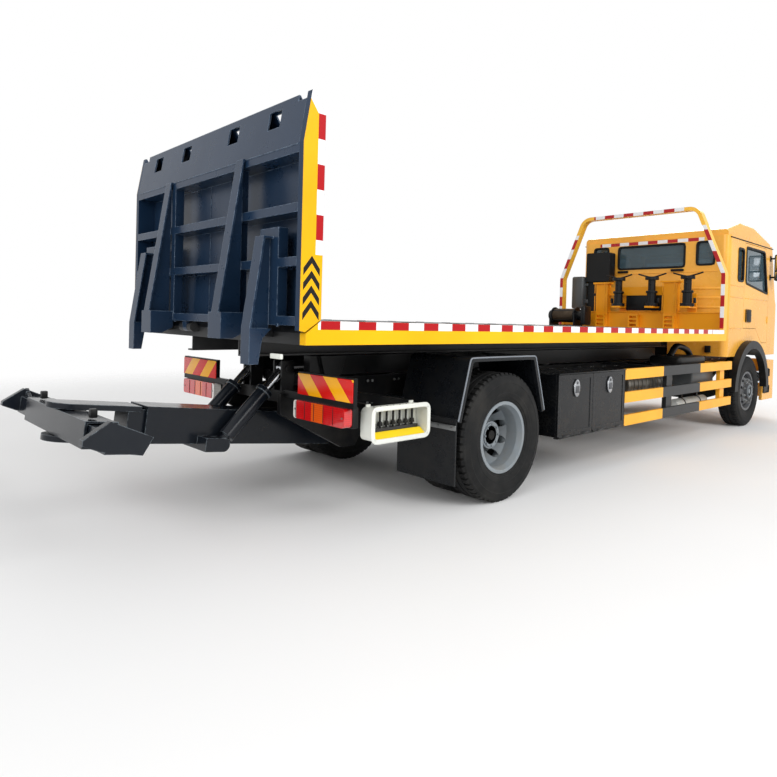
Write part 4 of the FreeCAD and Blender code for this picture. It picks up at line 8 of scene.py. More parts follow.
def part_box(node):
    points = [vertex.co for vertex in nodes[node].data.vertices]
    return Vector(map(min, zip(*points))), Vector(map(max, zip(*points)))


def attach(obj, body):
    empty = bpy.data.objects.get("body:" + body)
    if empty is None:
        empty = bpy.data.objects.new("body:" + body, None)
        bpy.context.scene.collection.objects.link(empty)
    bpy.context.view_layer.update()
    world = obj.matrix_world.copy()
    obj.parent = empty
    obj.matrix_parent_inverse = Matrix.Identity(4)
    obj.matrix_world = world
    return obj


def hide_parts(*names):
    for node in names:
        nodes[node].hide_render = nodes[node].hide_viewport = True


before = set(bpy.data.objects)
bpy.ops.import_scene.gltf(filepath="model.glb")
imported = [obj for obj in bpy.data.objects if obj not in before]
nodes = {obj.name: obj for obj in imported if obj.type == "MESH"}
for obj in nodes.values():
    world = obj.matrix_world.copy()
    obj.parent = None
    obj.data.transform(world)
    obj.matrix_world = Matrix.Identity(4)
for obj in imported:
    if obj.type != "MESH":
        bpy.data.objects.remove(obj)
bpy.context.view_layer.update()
finishes = {}

# Places along the truck are in metres from the rear axle, as its makers measure them
axleLow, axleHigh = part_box("rear_rims_right")
axleX = (axleLow.x + axleHigh.x) / 2
axleZ = (axleLow.z + axleHigh.z) / 2


def at(x, y, z):
    return Vector((axleX + x, y, z))


# Modelling helpers, which take places from the rear axle

def clearPick():
    if bpy.context.mode != "OBJECT":
        bpy.ops.object.mode_set(mode="OBJECT")
    bpy.ops.object.select_all(action="DESELECT")


def makeActive(*pieces):
    clearPick()
    for piece in pieces:
        piece.select_set(True)
    bpy.context.view_layer.objects.active = pieces[0]


def settle():  # place, turn and size go into the mesh
    bpy.ops.object.transform_apply(location=True, rotation=True, scale=True)
    return bpy.context.object


def pick(piece, kind, test):  # enters edit mode with what passes the test selected
    makeActive(piece)
    bpy.ops.object.mode_set(mode="EDIT")
    bpy.ops.mesh.select_mode(type=kind)
    bpy.ops.mesh.select_all(action="DESELECT")
    mesh = bmesh.from_edit_mesh(piece.data)
    if kind == "FACE":
        for face in mesh.faces:
            face.select_set(bool(test(face.calc_center_median(), face.normal)))
    else:
        for edge in mesh.edges:
            first, second = edge.verts[0].co, edge.verts[1].co
            edge.select_set(bool(test((first + second) / 2, (second - first).normalized())))
    mesh.select_flush_mode()
    bmesh.update_edit_mesh(piece.data)


def everything(*ignored):
    return True


def rounded(piece, width, segments=2, test=everything):
    if width:
        pick(piece, "EDGE", test)
        bpy.ops.mesh.bevel(offset=width, segments=segments, affect="EDGES")
        clearPick()
    return piece


def across(way):  # passes the edges that don't run along the way
    way = Vector(way).normalized()
    return lambda middle, line: abs(line.dot(way)) < 0.5


def block(low, high, bevel=0.0, segments=2):
    low, high = at(*low), at(*high)
    clearPick()
    bpy.ops.mesh.primitive_cube_add(size=1, location=(low + high) / 2)
    bpy.context.object.scale = high - low
    return rounded(settle(), bevel, segments)


def blocks(rows, bevel=0.0, segments=2):  # each row: rear, front, right, left, low, high
    return [block((rear, right, low), (front, left, high), bevel, segments)
            for rear, front, right, left, low, high in rows]


def strips(middles, rear, front, half, low, high, bevel=0.0):  # narrow blocks along the truck
    return blocks([(rear, front, y - half, y + half, low, high) for y in middles], bevel)


def rod(start, end, radius, sides=20, bevel=0.0):
    start, end = at(*start), at(*end)
    run = end - start
    clearPick()
    bpy.ops.mesh.primitive_cylinder_add(
        vertices=sides, radius=radius, depth=run.length, location=(start + end) / 2,
        rotation=run.to_track_quat("Z", "Y").to_euler())
    return rounded(settle(), bevel, 2, across(run))


def rods(ends, radius, sides=20, bevel=0.0):
    return [rod(start, end, radius, sides, bevel) for start, end in ends]


def drawLine(points):  # a single vertex drawn out from point to point
    clearPick()
    bpy.ops.mesh.primitive_plane_add(size=1, location=(0, 0, 0))
    piece = settle()
    bpy.ops.object.mode_set(mode="EDIT")
    bpy.ops.mesh.select_mode(type="VERT")
    bpy.ops.mesh.select_all(action="SELECT")
    bpy.ops.mesh.merge(type="CENTER")
    bpy.ops.transform.translate(value=points[0])
    for here, there in zip(points, points[1:]):
        bpy.ops.mesh.extrude_region_move(TRANSFORM_OT_translate={"value": there - here})
    bpy.ops.mesh.select_all(action="SELECT")
    return piece


def tidyNormals():
    bpy.ops.mesh.select_all(action="SELECT")
    bpy.ops.mesh.remove_doubles(threshold=0.00001)
    bpy.ops.mesh.normals_make_consistent(inside=False)


def lathe(outline, centre, axis, steps=32):  # an outline of radii and heights, spun
    piece = drawLine([Vector((radius, 0, along)) for radius, along in outline])
    bpy.ops.mesh.spin(steps=steps, angle=math.tau, center=(0, 0, 0), axis=(0, 0, 1))
    tidyNormals()
    bpy.ops.object.mode_set(mode="OBJECT")
    piece.rotation_euler = Vector(axis).to_track_quat("Z", "Y").to_euler()
    piece.location = at(*centre)
    return settle()


def fillLine():
    bpy.ops.mesh.edge_face_add()
    bpy.ops.mesh.select_mode(type="FACE")
    bpy.ops.mesh.select_all(action="SELECT")


def pushOut(push):
    bpy.ops.mesh.extrude_region_move(TRANSFORM_OT_translate={"value": Vector(push)})
    tidyNormals()
    clearPick()


def plate(points, push, bevel=0.0, segments=1):  # an outline filled and pushed out
    piece = drawLine([at(*point) for point in points])
    fillLine()
    pushOut(push)
    return rounded(piece, bevel, segments)


def ovalPlate(centre, wide, tall, push, sides=28):
    wide, tall = Vector(wide), Vector(tall)
    turns = [math.tau * step / sides for step in range(sides)]
    return plate([Vector(centre) + wide * math.cos(turn) + tall * math.sin(turn) for turn in turns],
                 push)


def curved(corners, radius, steps=5):  # an outline whose corners are rounded
    points = []
    for number, corner in enumerate(corners):
        before = (corners[number - 1] - corner).normalized() * radius
        after = (corners[(number + 1) % len(corners)] - corner).normalized() * radius
        for step in range(steps + 1):
            share = step / steps
            points.append(corner + before * (1 - share) ** 2 + after * share ** 2)
    return points


def ringPlate(corners, radius, width, push, bevel=0.0):  # a flat rounded frame
    piece = drawLine(curved([at(*corner) for corner in corners], radius))
    fillLine()
    bpy.ops.mesh.inset(thickness=width)
    bpy.ops.mesh.delete(type="FACE")
    bpy.ops.mesh.select_all(action="SELECT")
    pushOut(push)
    return rounded(piece, bevel, 1, across(push))


def bolts(places, way, width=0.011, height=0.009):
    way = Vector(way)
    return [rod(Vector(place) - way * 0.002, Vector(place) + way * height, width, 6, 0.001)
            for place in places]


def pipe(points, radius, sides=8):  # a bent pipe that is held all along
    curve = bpy.data.curves.new("pipe", "CURVE")
    curve.dimensions = "3D"
    curve.bevel_depth = radius
    curve.bevel_resolution = sides // 2
    curve.resolution_u = 8
    curve.use_fill_caps = True
    line = curve.splines.new("NURBS")
    line.points.add(len(points) - 1)
    for point, place in zip(line.points, points):
        point.co = (*at(*place), 1)
    line.order_u = 3
    line.use_endpoint_u = True
    piece = bpy.data.objects.new("pipe", curve)
    bpy.context.scene.collection.objects.link(piece)
    makeActive(piece)
    bpy.ops.object.convert(target="MESH")
    return settle()


def modified(piece, kind, **settings):
    makeActive(piece)
    bpy.ops.object.modifier_add(type=kind)
    modifier = piece.modifiers[-1]
    for key, value in settings.items():
        setattr(modifier, key, value)
    bpy.ops.object.modifier_apply(modifier=modifier.name)
    return piece


def rowOf(piece, count, step):
    return modified(piece, "ARRAY", count=count, use_relative_offset=False,
                    use_constant_offset=True, constant_offset_displace=step)


def ringOf(piece, count, centre):  # copies round an axle
    pick(piece, "FACE", everything)
    bpy.ops.mesh.spin(steps=count - 1, angle=math.tau * (count - 1) / count, dupli=True,
                      center=at(*centre), axis=(0, 1, 0))
    clearPick()
    return piece


def turned(piece, angle, centre):  # leaned about a cross line
    centre = at(*centre)
    piece.data.transform(Matrix.Translation(centre) @ Matrix.Rotation(angle, 4, "Y")
                         @ Matrix.Translation(-centre))
    return piece


def joined(pieces):
    makeActive(*pieces)
    if len(pieces) > 1:
        bpy.ops.object.join()
    return bpy.context.object


def copied(piece, step=(0, 0, 0)):
    twin = piece.copy()
    twin.data = piece.data.copy()
    bpy.context.scene.collection.objects.link(twin)
    twin.data.transform(Matrix.Translation(Vector(step)))
    return twin


def mirrored(piece):
    twin = copied(piece)
    twin.data.transform(Matrix.Scale(-1, 4, (0, 1, 0)))
    pick(twin, "FACE", everything)
    bpy.ops.mesh.flip_normals()
    clearPick()
    return twin


def dress(name, pieces, finish, body, pair=False, smooth=35, stands=()):
    piece = joined(pieces)
    if pair:
        piece = joined([piece, mirrored(piece)])
    piece.name = name
    piece.data.name = name
    makeActive(piece)
    piece.data.materials.clear()
    piece.data.materials.append(finishes[finish])
    if smooth:
        bpy.ops.object.shade_smooth_by_angle(angle=math.radians(smooth))
    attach(piece, body)
    if stands:
        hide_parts(*stands)
    return piece


# Shader sums

class Wire:  # a socket that takes part in sums
    def __init__(self, finish, socket):
        self.finish = finish
        self.socket = socket

    def maths(self, operation, *others):
        inputs = dict(enumerate((self, *others)))
        return self.finish.node("ShaderNodeMath", {"operation": operation}, inputs)

    def __add__(self, other):
        return self.maths("ADD", other)

    def __sub__(self, other):
        return self.maths("SUBTRACT", other)

    def __rsub__(self, other):
        return (self * -1) + other

    def __mul__(self, other):
        return self.maths("MULTIPLY", other)

    def __truediv__(self, other):
        return self.maths("DIVIDE", other)

    __radd__ = __add__
    __rmul__ = __mul__

    def above(self, limit):
        return self.maths("GREATER_THAN", limit)

    def below(self, limit):
        return self.maths("LESS_THAN", limit)

    def part(self):
        return self.maths("FRACT")

    def size(self):
        return self.maths("ABSOLUTE")

    def most(self, other):
        return self.maths("MAXIMUM", other)

    def between(self, low, high):
        return self.above(low) * self.below(high)

    def rise(self, low, high):
        return self.finish.node("ShaderNodeMapRange", {"interpolation_type": "SMOOTHSTEP"},
                                {"Value": self, "From Min": low, "From Max": high})


class Finish:  # one material made of nodes
    def __init__(self, name):
        self.material = bpy.data.materials.new(name)
        self.material.use_nodes = True
        self.tree = self.material.node_tree
        self.shader = self.tree.nodes["Principled BSDF"]
        self.object = self.node("ShaderNodeTexCoord", {}, {}, "Object")

    def plug(self, socket, value):
        if isinstance(value, Wire):
            self.tree.links.new(value.socket, socket)
        elif value is not None:
            socket.default_value = value

    def node(self, kind, settings, inputs, output=0):
        made = self.tree.nodes.new(kind)
        for key, value in settings.items():
            setattr(made, key, value)
        for key, value in inputs.items():
            self.plug(made.inputs[key], value)
        return Wire(self, made.outputs[output])

    def split(self, vector):
        made = self.tree.nodes.new("ShaderNodeSeparateXYZ")
        self.plug(made.inputs[0], vector)
        return [Wire(self, socket) for socket in made.outputs]

    def place(self):  # metres from the rear axle, the centre line and the ground
        x, y, z = self.split(self.object)
        return x - axleX, y, z

    def upward(self):
        return self.split(self.node("ShaderNodeTexCoord", {}, {}, "Normal"))[2]

    def noise(self, scale, detail=3.0, rough=0.5):
        return self.node("ShaderNodeTexNoise", {}, {
            "Vector": self.object, "Scale": scale, "Detail": detail, "Roughness": rough})

    def mix(self, share, first, second):
        return self.node("ShaderNodeMix", {"data_type": "RGBA"},
                         {0: share, 6: first, 7: second}, 2)

    def edges(self, width):  # 1 along sharp outer and inner edges, 0 on flats
        soft = self.node("ShaderNodeBevel", {"samples": 4}, {"Radius": width})
        flat = self.node("ShaderNodeNewGeometry", {}, {}, "Normal")
        alike = self.node("ShaderNodeVectorMath", {"operation": "DOT_PRODUCT"},
                          {0: soft, 1: flat}, "Value")
        return (1 - alike).rise(0.01, 0.2), soft

    def bump(self, height, strength, distance, normal=None):
        return self.node("ShaderNodeBump", {}, {
            "Strength": strength, "Distance": distance, "Height": height, "Normal": normal})

    def done(self, colour, rough, metal=0.0, normal=None, coat=None, **fixed):
        for key, value in (("Base Color", colour), ("Roughness", rough), ("Metallic", metal),
                           ("Normal", normal), ("Coat Weight", coat)):
            self.plug(self.shader.inputs[key], value)
        for key, value in fixed.items():
            self.shader.inputs[key.replace("_", " ")].default_value = value
        return self.material


def tint(red, green, blue, strength=1.0):  # a colour as a screen shows it, each part up to 255
    def linear(part):
        share = part * strength / 255
        return share / 12.92 if share < 0.04 else ((share + 0.055) / 1.055) ** 2.4
    return (linear(red), linear(green), linear(blue), 1.0)


def scaled(colour, share, lift=0.0):  # a colour made darker or paler
    return tuple(min(part * share + lift, 1) for part in colour[:3]) + (1.0,)


def look(colour, rough, dust, wearAndHighlight, shine=0.5, edge=0.005, edgeWearAndHighlightTint=(120, 124, 128)):
    return {"colour": colour, "rough": rough, "dust": dust, "wearAndHighlight": wearAndHighlight, "shine": shine,
            "edge": edge, "edgeWearAndHighlightTint": edgeWearAndHighlightTint}


# Paint: its colour, then roughness, dust, worn edges and shine; on the ramp and lift paints the pale
# bluish edges are painted highlight as well as wear
paintLooks = {
    "frameBlack": look((10, 11, 13), 0.28, 0.08, 0.2, 0.2),
    "axleBlack": look((12, 13, 14), 0.38, 0.16, 0.2, 0.2),
    "boxBlack": look((13, 15, 18), 0.24, 0.06, 0.16, 0.28),
    "plasticBlack": look((15, 16, 17), 0.4, 0.1, 0.1, 0.22),
    "fenderBlack": look((14, 17, 21), 0.26, 0.06, 0.3, 0.28),
    # Fender rim highlight: pale grey for a thin pipe along the black fender's edge, a painted reflection
    # of the sky on the glossy rim
    "fenderRimHighlight": look((120, 126, 134), 0.3, 0.1, 0.2),
    "rubberBlack": look((16, 17, 18), 0.5, 0.12, 0.0, 0.2),
    "tankGrey": look((70, 74, 76), 0.36, 0.2, 0.2),
    "bottleWhite": look((206, 208, 204), 0.4, 0.3, 0.0),
    # Ramp paint: a dark paint tinted blue to stand in for the bluish sky light falling on the ramp,
    # painted light; its pale blue edge tint is painted highlight along with worn edges
    "rampSkyLitBlue": look((24, 45, 69), 0.27, 0.03, 0.85, 0.38, 0.008, (132, 154, 178)),
    # Lift paint: its pale bluish edge tint is partly painted highlight along the edges, partly wear
    "liftBlue": look((14, 20, 28), 0.2, 0.03, 0.85, 0.3, 0.008, (138, 150, 158)),
    "bedYellow": look((246, 186, 0), 0.3, 0.06, 0.15, 0.25),
    "rampYellow": look((238, 178, 0), 0.3, 0.04, 0.12, 0.25),
    "hoopYellow": look((250, 190, 62), 0.3, 0.05, 0.12),
    "headOrange": look((247, 160, 18), 0.34, 0.06, 0.15, 0.3),
    "cabAmber": look((244, 178, 66), 0.24, 0.05, 0.04),
    "guardPaint": look((250, 178, 40), 0.34, 0.12, 0.2, 0.3),
    "wheelGrey": look((128, 136, 142), 0.42, 0.4, 0.2),
    "frontWheel": look((74, 76, 80), 0.35, 0.3, 0.2),
    "controlWhite": look((222, 224, 216), 0.3, 0.15, 0.1),
    "bezelWhite": look((226, 228, 220), 0.28, 0.12, 0.08),
    "trayYellow": look((250, 215, 10), 0.4, 0.1, 0.1),
    "winchGrey": look((14, 15, 17), 0.32, 0.1, 0.3, 0.25),
    "standBlack": look((12, 13, 15), 0.34, 0.08, 0.35, 0.22),
    "panelMarks": look((250, 176, 6), 0.22, 0.05, 0.0),
}
dustTint = tint(128, 120, 106)
weather = {"drift": 1.7, "dark": 0.92, "pale": 1.04, "lift": 0.003, "grime": 7.0, "dustLow": 0.7,
           "dustTop": 0.6, "dustRough": 0.4, "grimeRough": 0.16, "chips": 26.0, "peel": 220.0,
           "peelStrength": 0.06, "peelDepth": 0.0015}

# The red and white warning tape and the other marks on the paint
tape = {"pitch": 0.3002, "height": 0.053, "red": tint(176, 12, 20), "white": tint(236, 236, 238)}
bed = {"rear": -1.867, "top": 1.431, "side": 1.246, "lastRed": 4.45, "tapeFront": 4.86}
chevron = {"top": 1.817, "pitch": 0.088, "count": 4.0, "half": 0.06, "drop": 0.075,
           "thick": 0.045, "middle": -1.945, "colour": tint(22, 22, 20)}
rampTape = {"low": 1.825, "firstRed": 1.913, "leanLow": 2.66, "lean": 0.75}
hoop = {"rear": 4.832, "low": 1.45, "high": 2.86, "legs": 0.84, "firstRed": 1.745, "bar": 3.04,
        "barHalf": 0.68, "barStart": 5.05}
cabBack = {"x": 5.332, "low": 2.712, "high": 2.762, "right": -0.78, "left": 0.83, "start": 5.206}
guards = {"rear": 3.024, "front": 4.106, "black": tint(34, 36, 38)}
reflector = {"red": tint(214, 22, 16), "yellow": tint(250, 176, 6), "stripe": 0.3}
# Lever box places; the recess and the box's inner part take dark colours that are painted shade
controls = {"rear": -1.396, "front": -0.914, "low": 0.655, "high": 0.846, "back": -1.135,
            "shelf": -1.2, "arms": -1.119, "recessShade": tint(30, 31, 33), "block": tint(22, 23, 25)}


def tapeOver(made, colour, mask, along):
    red = (along / tape["pitch"]).part().below(0.5)
    return made.mix(mask, colour, made.mix(red, tape["white"], tape["red"]))


def bedTape(made, colour, x, y, z):
    outer = y.size().above(bed["side"])
    band = z.above(bed["top"] - tape["height"])
    red = ((x - bed["rear"]) / tape["pitch"]).part().below(0.5) * x.below(bed["lastRed"])
    inside = x.between(bed["rear"] - 0.02, bed["tapeFront"])
    return made.mix(outer * band * inside, colour, made.mix(red, tape["white"], tape["red"]))


def rampMarks(made, colour, x, y, z):
    outer = y.size().above(bed["side"])
    face = bed["rear"] - tape["height"]
    leaning = z.above(rampTape["leanLow"]) * x.above(face - (z - rampTape["leanLow"]) * rampTape["lean"])
    strip = outer * z.above(rampTape["low"]) * x.above(face).most(leaning)
    colour = tapeOver(made, colour, strip, z - rampTape["firstRed"])
    side = (x - chevron["middle"]).size()
    fall = z + side * (chevron["drop"] / chevron["half"])
    down = (chevron["top"] - fall) / chevron["pitch"]
    black = down.part().below(chevron["thick"] / chevron["pitch"])
    inside = down.between(0.0, chevron["count"]) * side.below(chevron["half"])
    colour = made.mix(outer * black * inside, colour, chevron["colour"])
    # Every face but the outer sides takes the ramp paint, whose blue tint is painted sky light
    return made.mix(outer, tint(*paintLooks["rampSkyLitBlue"]["colour"]), colour)


def hoopTape(made, colour, x, y, z):
    rear = x.below(hoop["rear"])
    leg = z.between(hoop["low"], hoop["high"]) * y.size().above(hoop["legs"])
    colour = tapeOver(made, colour, rear * leg, z - hoop["firstRed"])
    bar = z.above(hoop["bar"]) * y.size().below(hoop["barHalf"])
    return tapeOver(made, colour, rear * bar, y + hoop["barStart"])


def cabTape(made, colour, x, y, z):
    rear = x.below(cabBack["x"])
    band = z.between(cabBack["low"], cabBack["high"]) * y.between(cabBack["right"], cabBack["left"])
    return tapeOver(made, colour, rear * band, y + cabBack["start"])


def guardBlack(made, colour, x, y, z):
    return made.mix(x.between(guards["rear"], guards["front"]), colour, guards["black"])


def diagonals(made, colour, x, y, z):
    red = ((y.size() + z) / reflector["stripe"]).part().below(0.5)
    return made.mix(red, reflector["yellow"], reflector["red"])


def controlShades(made, colour, x, y, z):
    # Painted shade: the recess inside the lever box is darkened, and so is the box's inner part towards
    # the middle of the truck
    recessShade = x.between(controls["rear"], controls["front"])
    inside = recessShade * z.between(controls["low"], controls["high"])
    shadedRecess = inside * y.between(controls["shelf"], controls["back"])
    colour = made.mix(shadedRecess, colour, controls["recessShade"])
    return made.mix(y.above(controls["arms"]), colour, controls["block"])


patterns = {"bedYellow": bedTape, "rampYellow": rampMarks, "hoopYellow": hoopTape,
            "cabAmber": cabTape, "guardPaint": guardBlack, "panelMarks": diagonals,
            "controlWhite": controlShades}


def paint(name):
    mine = paintLooks[name]
    made = Finish(name)
    x, y, z = made.place()
    base = tint(*mine["colour"])
    drift = made.noise(weather["drift"], 4.0).rise(0.3, 0.7)
    colour = made.mix(drift, scaled(base, weather["dark"]),
                      scaled(base, weather["pale"], weather["lift"]))
    if name in patterns:
        colour = patterns[name](made, colour, x, y, z)
    grime = made.noise(weather["grime"], 6.0, 0.65)
    low = (1 - z.rise(0.1, 1.6)) * weather["dustLow"]
    upper = made.upward().rise(0.2, 0.9) * weather["dustTop"]
    dusty = (low + upper) * grime.rise(0.35, 0.75) * mine["dust"]
    colour = made.mix(dusty, colour, dustTint)
    edge, soft = made.edges(mine["edge"])
    # Lighter edges: worn paint, and on the ramp and lift paints also painted highlight
    wornAndLitEdges = edge * made.noise(weather["chips"], 4.0).rise(0.3, 0.6) * mine["wearAndHighlight"]
    colour = made.mix(wornAndLitEdges, colour, tint(*mine["edgeWearAndHighlightTint"]))
    rough = dusty * weather["dustRough"] + (grime * weather["grimeRough"] + (mine["rough"] - 0.06))
    peel = made.bump(made.noise(weather["peel"], 2.0), weather["peelStrength"],
                     weather["peelDepth"], soft)
    return made.done(colour, rough, normal=peel, IOR=1.45, Specular_IOR_Level=mine["shine"])


def tyreRubber():
    made = Finish("tyreRubber")
    grime = made.noise(9.0, 5.0, 0.6)
    colour = made.mix(grime.rise(0.35, 0.75), tint(15, 16, 17), tint(31, 31, 31))
    dusty = made.noise(3.0, 4.0).rise(0.45, 0.75) * 0.245
    colour = made.mix(dusty, colour, tint(78, 75, 70))
    edge, soft = made.edges(0.004)
    colour = made.mix(edge * 0.3, colour, tint(78, 78, 76))
    grain = made.bump(made.noise(160.0, 3.0), 0.12, 0.002, soft)
    return made.done(colour, grime * 0.2 + 0.62, normal=grain, Specular_IOR_Level=0.2)


def metalFinish(name, colour, rough, flecks=0.15):
    made = Finish(name)
    grain = made.noise(60.0, 4.0, 0.6)
    base = tint(*colour)
    shade = made.mix(made.noise(5.0, 5.0, 0.6).rise(0.35, 0.7), scaled(base, 0.55), base)
    return made.done(shade, grain * 0.2 + rough, metal=1.0, normal=made.bump(grain, flecks, 0.001))


def treadPlate():
    made = Finish("treadPlate")
    x, y, z = made.place()
    bars = []
    for turn, shift in ((1, 0.0), (-1, 0.5)):
        aside = ((x / 0.07) + shift).part() - 0.5
        along = ((y / 0.07) + shift).part() - 0.5
        long = aside + along * turn
        short = aside - along * turn
        bars.append(1 - long * long * 2.2 - short * short * 45.0)
    raised = bars[0].most(bars[1]).rise(0.0, 0.6)
    top = made.upward().above(0.9) * z.above(bed["top"] - 0.006)
    grime = made.noise(4.0, 6.0, 0.65)
    steel = made.mix(grime.rise(0.35, 0.7), tint(70, 74, 80), tint(112, 114, 116))
    steel = made.mix(raised * 0.5, steel, tint(150, 152, 154))
    under = made.mix(grime.rise(0.3, 0.7), tint(22, 24, 27), tint(44, 44, 44))
    normal = made.bump(raised * top, 0.5, 0.003)
    return made.done(made.mix(top, under, steel), grime * 0.25 + 0.35, metal=top * 0.6, normal=normal)


def lampLens(name, spans):  # spans along |Y|, each with its start and colour
    made = Finish(name)
    x, y, z = made.place()
    side = y.size()
    colour = tint(*spans[0][1])
    for start, shade in spans[1:]:
        colour = made.mix(side.above(start), colour, tint(*shade))
    cells = ((side / 0.014).part() - 0.5).size().most(((z / 0.014).part() - 0.5).size())
    colour = made.mix(cells.rise(0.36, 0.5) * 0.35, colour, tint(70, 6, 8))
    return made.done(colour, 0.14, normal=made.bump(cells, 0.35, 0.002), coat=1.0)


def clearGlass(name, colour, clear=1.0):
    made = Finish(name)
    streak = made.noise(2.0, 3.0).rise(0.3, 0.8)
    shade = made.mix(streak, tint(*colour), tint(*colour, 0.8))
    return made.done(shade, streak * 0.03 + 0.02, Transmission_Weight=clear, IOR=1.45)


def clothFinish(name, colour):
    made = Finish(name)
    x, y, z = made.split(made.object)
    threads = ((x + z) * 900.0).maths("SINE") * ((y - z) * 900.0).maths("SINE")
    shade = made.mix(threads.rise(-0.6, 0.6), tint(*colour, 0.6), tint(*colour))
    shade = made.mix(made.noise(12.0, 4.0).rise(0.4, 0.7) * 0.3, shade, tint(60, 60, 64))
    return made.done(shade, 0.88, normal=made.bump(threads, 0.3, 0.001), Sheen_Weight=0.3)


red, orange = (206, 14, 18), (236, 92, 16)
finishes.update({name: paint(name) for name in paintLooks})
finishes.update({
    "tyre": tyreRubber(), "tread": treadPlate(),
    "chrome": metalFinish("chromeRod", (205, 208, 212), 0.08, 0.03),
    "steel": metalFinish("wornSteel", (128, 130, 134), 0.34),
    "zinc": metalFinish("zincBolt", (168, 170, 170), 0.3, 0.1),
    "silencer": metalFinish("silencerSteel", (150, 146, 138), 0.36, 0.25),
    "tank": metalFinish("tankAlloy", (140, 144, 148), 0.3, 0.1),
    "rope": metalFinish("wireRope", (110, 96, 82), 0.45, 0.4),
    "mirror": metalFinish("mirrorGlass", (214, 218, 222), 0.02, 0.0),
    "tailLens": lampLens("tailLens", ((0.0, (240, 236, 230)), (0.625, red), (0.8, orange), (0.93, red))),
    "orangeLens": lampLens("orangeLens", ((0.0, (238, 112, 16)),)),
    "headLens": clearGlass("headLens", (228, 234, 238)),
    "glass": clearGlass("cabGlass", (112, 140, 152), 0.72),
    "cloth": clothFinish("seatCloth", (52, 54, 60)),
})
print("finishes made:", len(finishes))

# Each finish and the CAD nodes that get it
nodeFinishes = {
    "frameBlack": "chassis_frame tilt_frame tilt_barrels tail_bar",
    "axleBlack": "front_axle rear_axle engine_and_gearbox knuckle_right knuckle_left",
    "tyre": "front_tyre_right front_tyre_left rear_tyres_right rear_tyres_left",
    "frontWheel": "front_rim_right front_rim_left",
    "wheelGrey": "rear_rims_right rear_rims_left",
    "chrome": "tilt_rods lift_rods",
    "liftBlue": "lift_barrels boom extension crossbar arm_right arm_left",
    "tread": "deck_platform", "bedYellow": "side_rails", "headOrange": "headboard",
    "standBlack": "fork_stands", "hoopYellow": "roll_hoop", "winchGrey": "winch",
    "rampSkyLitBlue": "ramp_frame", "rampYellow": "ramp_sides", "tailLens": "tail_lamps",
    "controlWhite": "control_box", "boxBlack": "toolbox toolbox_door_rear toolbox_door_front",
    "tank": "fuel_tank", "guardPaint": "side_guards", "silencer": "silencer",
    "fenderBlack": "rear_fenders", "plasticBlack": "intake_stack wheel_arches dashboard mirrors",
    "cabAmber": "cab_shell roof_cap door_right door_left bumper", "glass": "cab_glass",
    "cloth": "seats", "headLens": "headlamps",
}
for finish, names in nodeFinishes.items():
    for name in names.split():
        nodes[name].data.materials.clear()
        nodes[name].data.materials.append(finishes[finish])


# Tyres with their tread, the wheels' nuts and hub caps
tyre = {"radius": 0.523, "half": 0.141, "bead": 0.292, "groove": 0.51, "lugs": 56,
        "lugInner": 0.058, "lugOuter": 0.118, "share": 0.62, "steps": 88}


def tyreAt(centre):
    half, bead, groove, top = (tyre[key] for key in ("half", "bead", "groove", "radius"))
    side = [(bead - 0.006, 0.086), (bead, 0.108), (bead + 0.012, 0.119), (bead + 0.026, 0.121),
            (bead + 0.03, 0.128), (bead + 0.07, half - 0.004), (bead + 0.073, half - 0.006),
            (bead + 0.11, half), (bead + 0.15, half - 0.002), (bead + 0.153, half + 0.0005),
            (bead + 0.17, half - 0.004), (groove - 0.03, half - 0.012), (groove - 0.008, 0.122),
            (groove, 0.108), (groove, tyre["lugInner"] - 0.003), (groove, 0.052),
            (top, 0.05), (top, 0.008), (groove + 0.002, 0.006)]
    other = [(radius, -along) for radius, along in reversed(side)]
    parts = [lathe(side + other, centre, (0, 1, 0), tyre["steps"])]
    pitch = math.tau / tyre["lugs"]
    long = top * pitch * tyre["share"]
    start = centre - Vector((long / 2, 0, 0))
    for way, shift in ((1, 0.0), (-1, 0.5)):
        near, far = way * tyre["lugInner"], way * tyre["lugOuter"]
        outline = [(near, groove - 0.004), (near, top), (far - way * 0.014, top),
                   (far + way * 0.008, groove - 0.018), (far - way * 0.002, groove - 0.06)]
        lug = plate([start + Vector((0, y, z)) for y, z in outline], (long, 0, 0))
        parts.append(ringOf(turned(lug, shift * pitch, centre), tyre["lugs"], centre))
    return joined(parts)


wheels = {"front": {"x": 6.215, "middles": (1.016,), "nuts": 1.132, "cap": 1.172, "tyre": "tyre"},
          "rear": {"x": 0.0, "middles": (1.131, 0.809), "nuts": 0.986, "cap": 1.12, "tyre": "tyres"}}
wheelNuts = {"count": 10, "circle": 0.1675, "across": 0.019, "height": 0.028, "stud": 0.011}
hubCap = {"outline": ((0.0, 0.0), (0.075, 0.0), (0.082, 0.008), (0.096, 0.01), (0.096, -0.02),
                      (0.112, -0.024), (0.112, -0.034), (0.0, -0.034)),
          "bolts": 8, "circle": 0.086, "across": 0.008}


def nutRing(x, face, way):
    start, step = Vector((x, way * face, axleZ + wheelNuts["circle"])), Vector((0, way, 0))
    nut = rod(start, start + step * wheelNuts["height"], wheelNuts["across"], 6, 0.0015)
    washer = rod(start - step * 0.004, start + step * 0.006, wheelNuts["across"] * 1.25, 16, 0.001)
    stud = rod(start, start + step * (wheelNuts["height"] + 0.012), wheelNuts["stud"], 10)
    return ringOf(joined([nut, washer, stud]), wheelNuts["count"], (x, 0, axleZ))


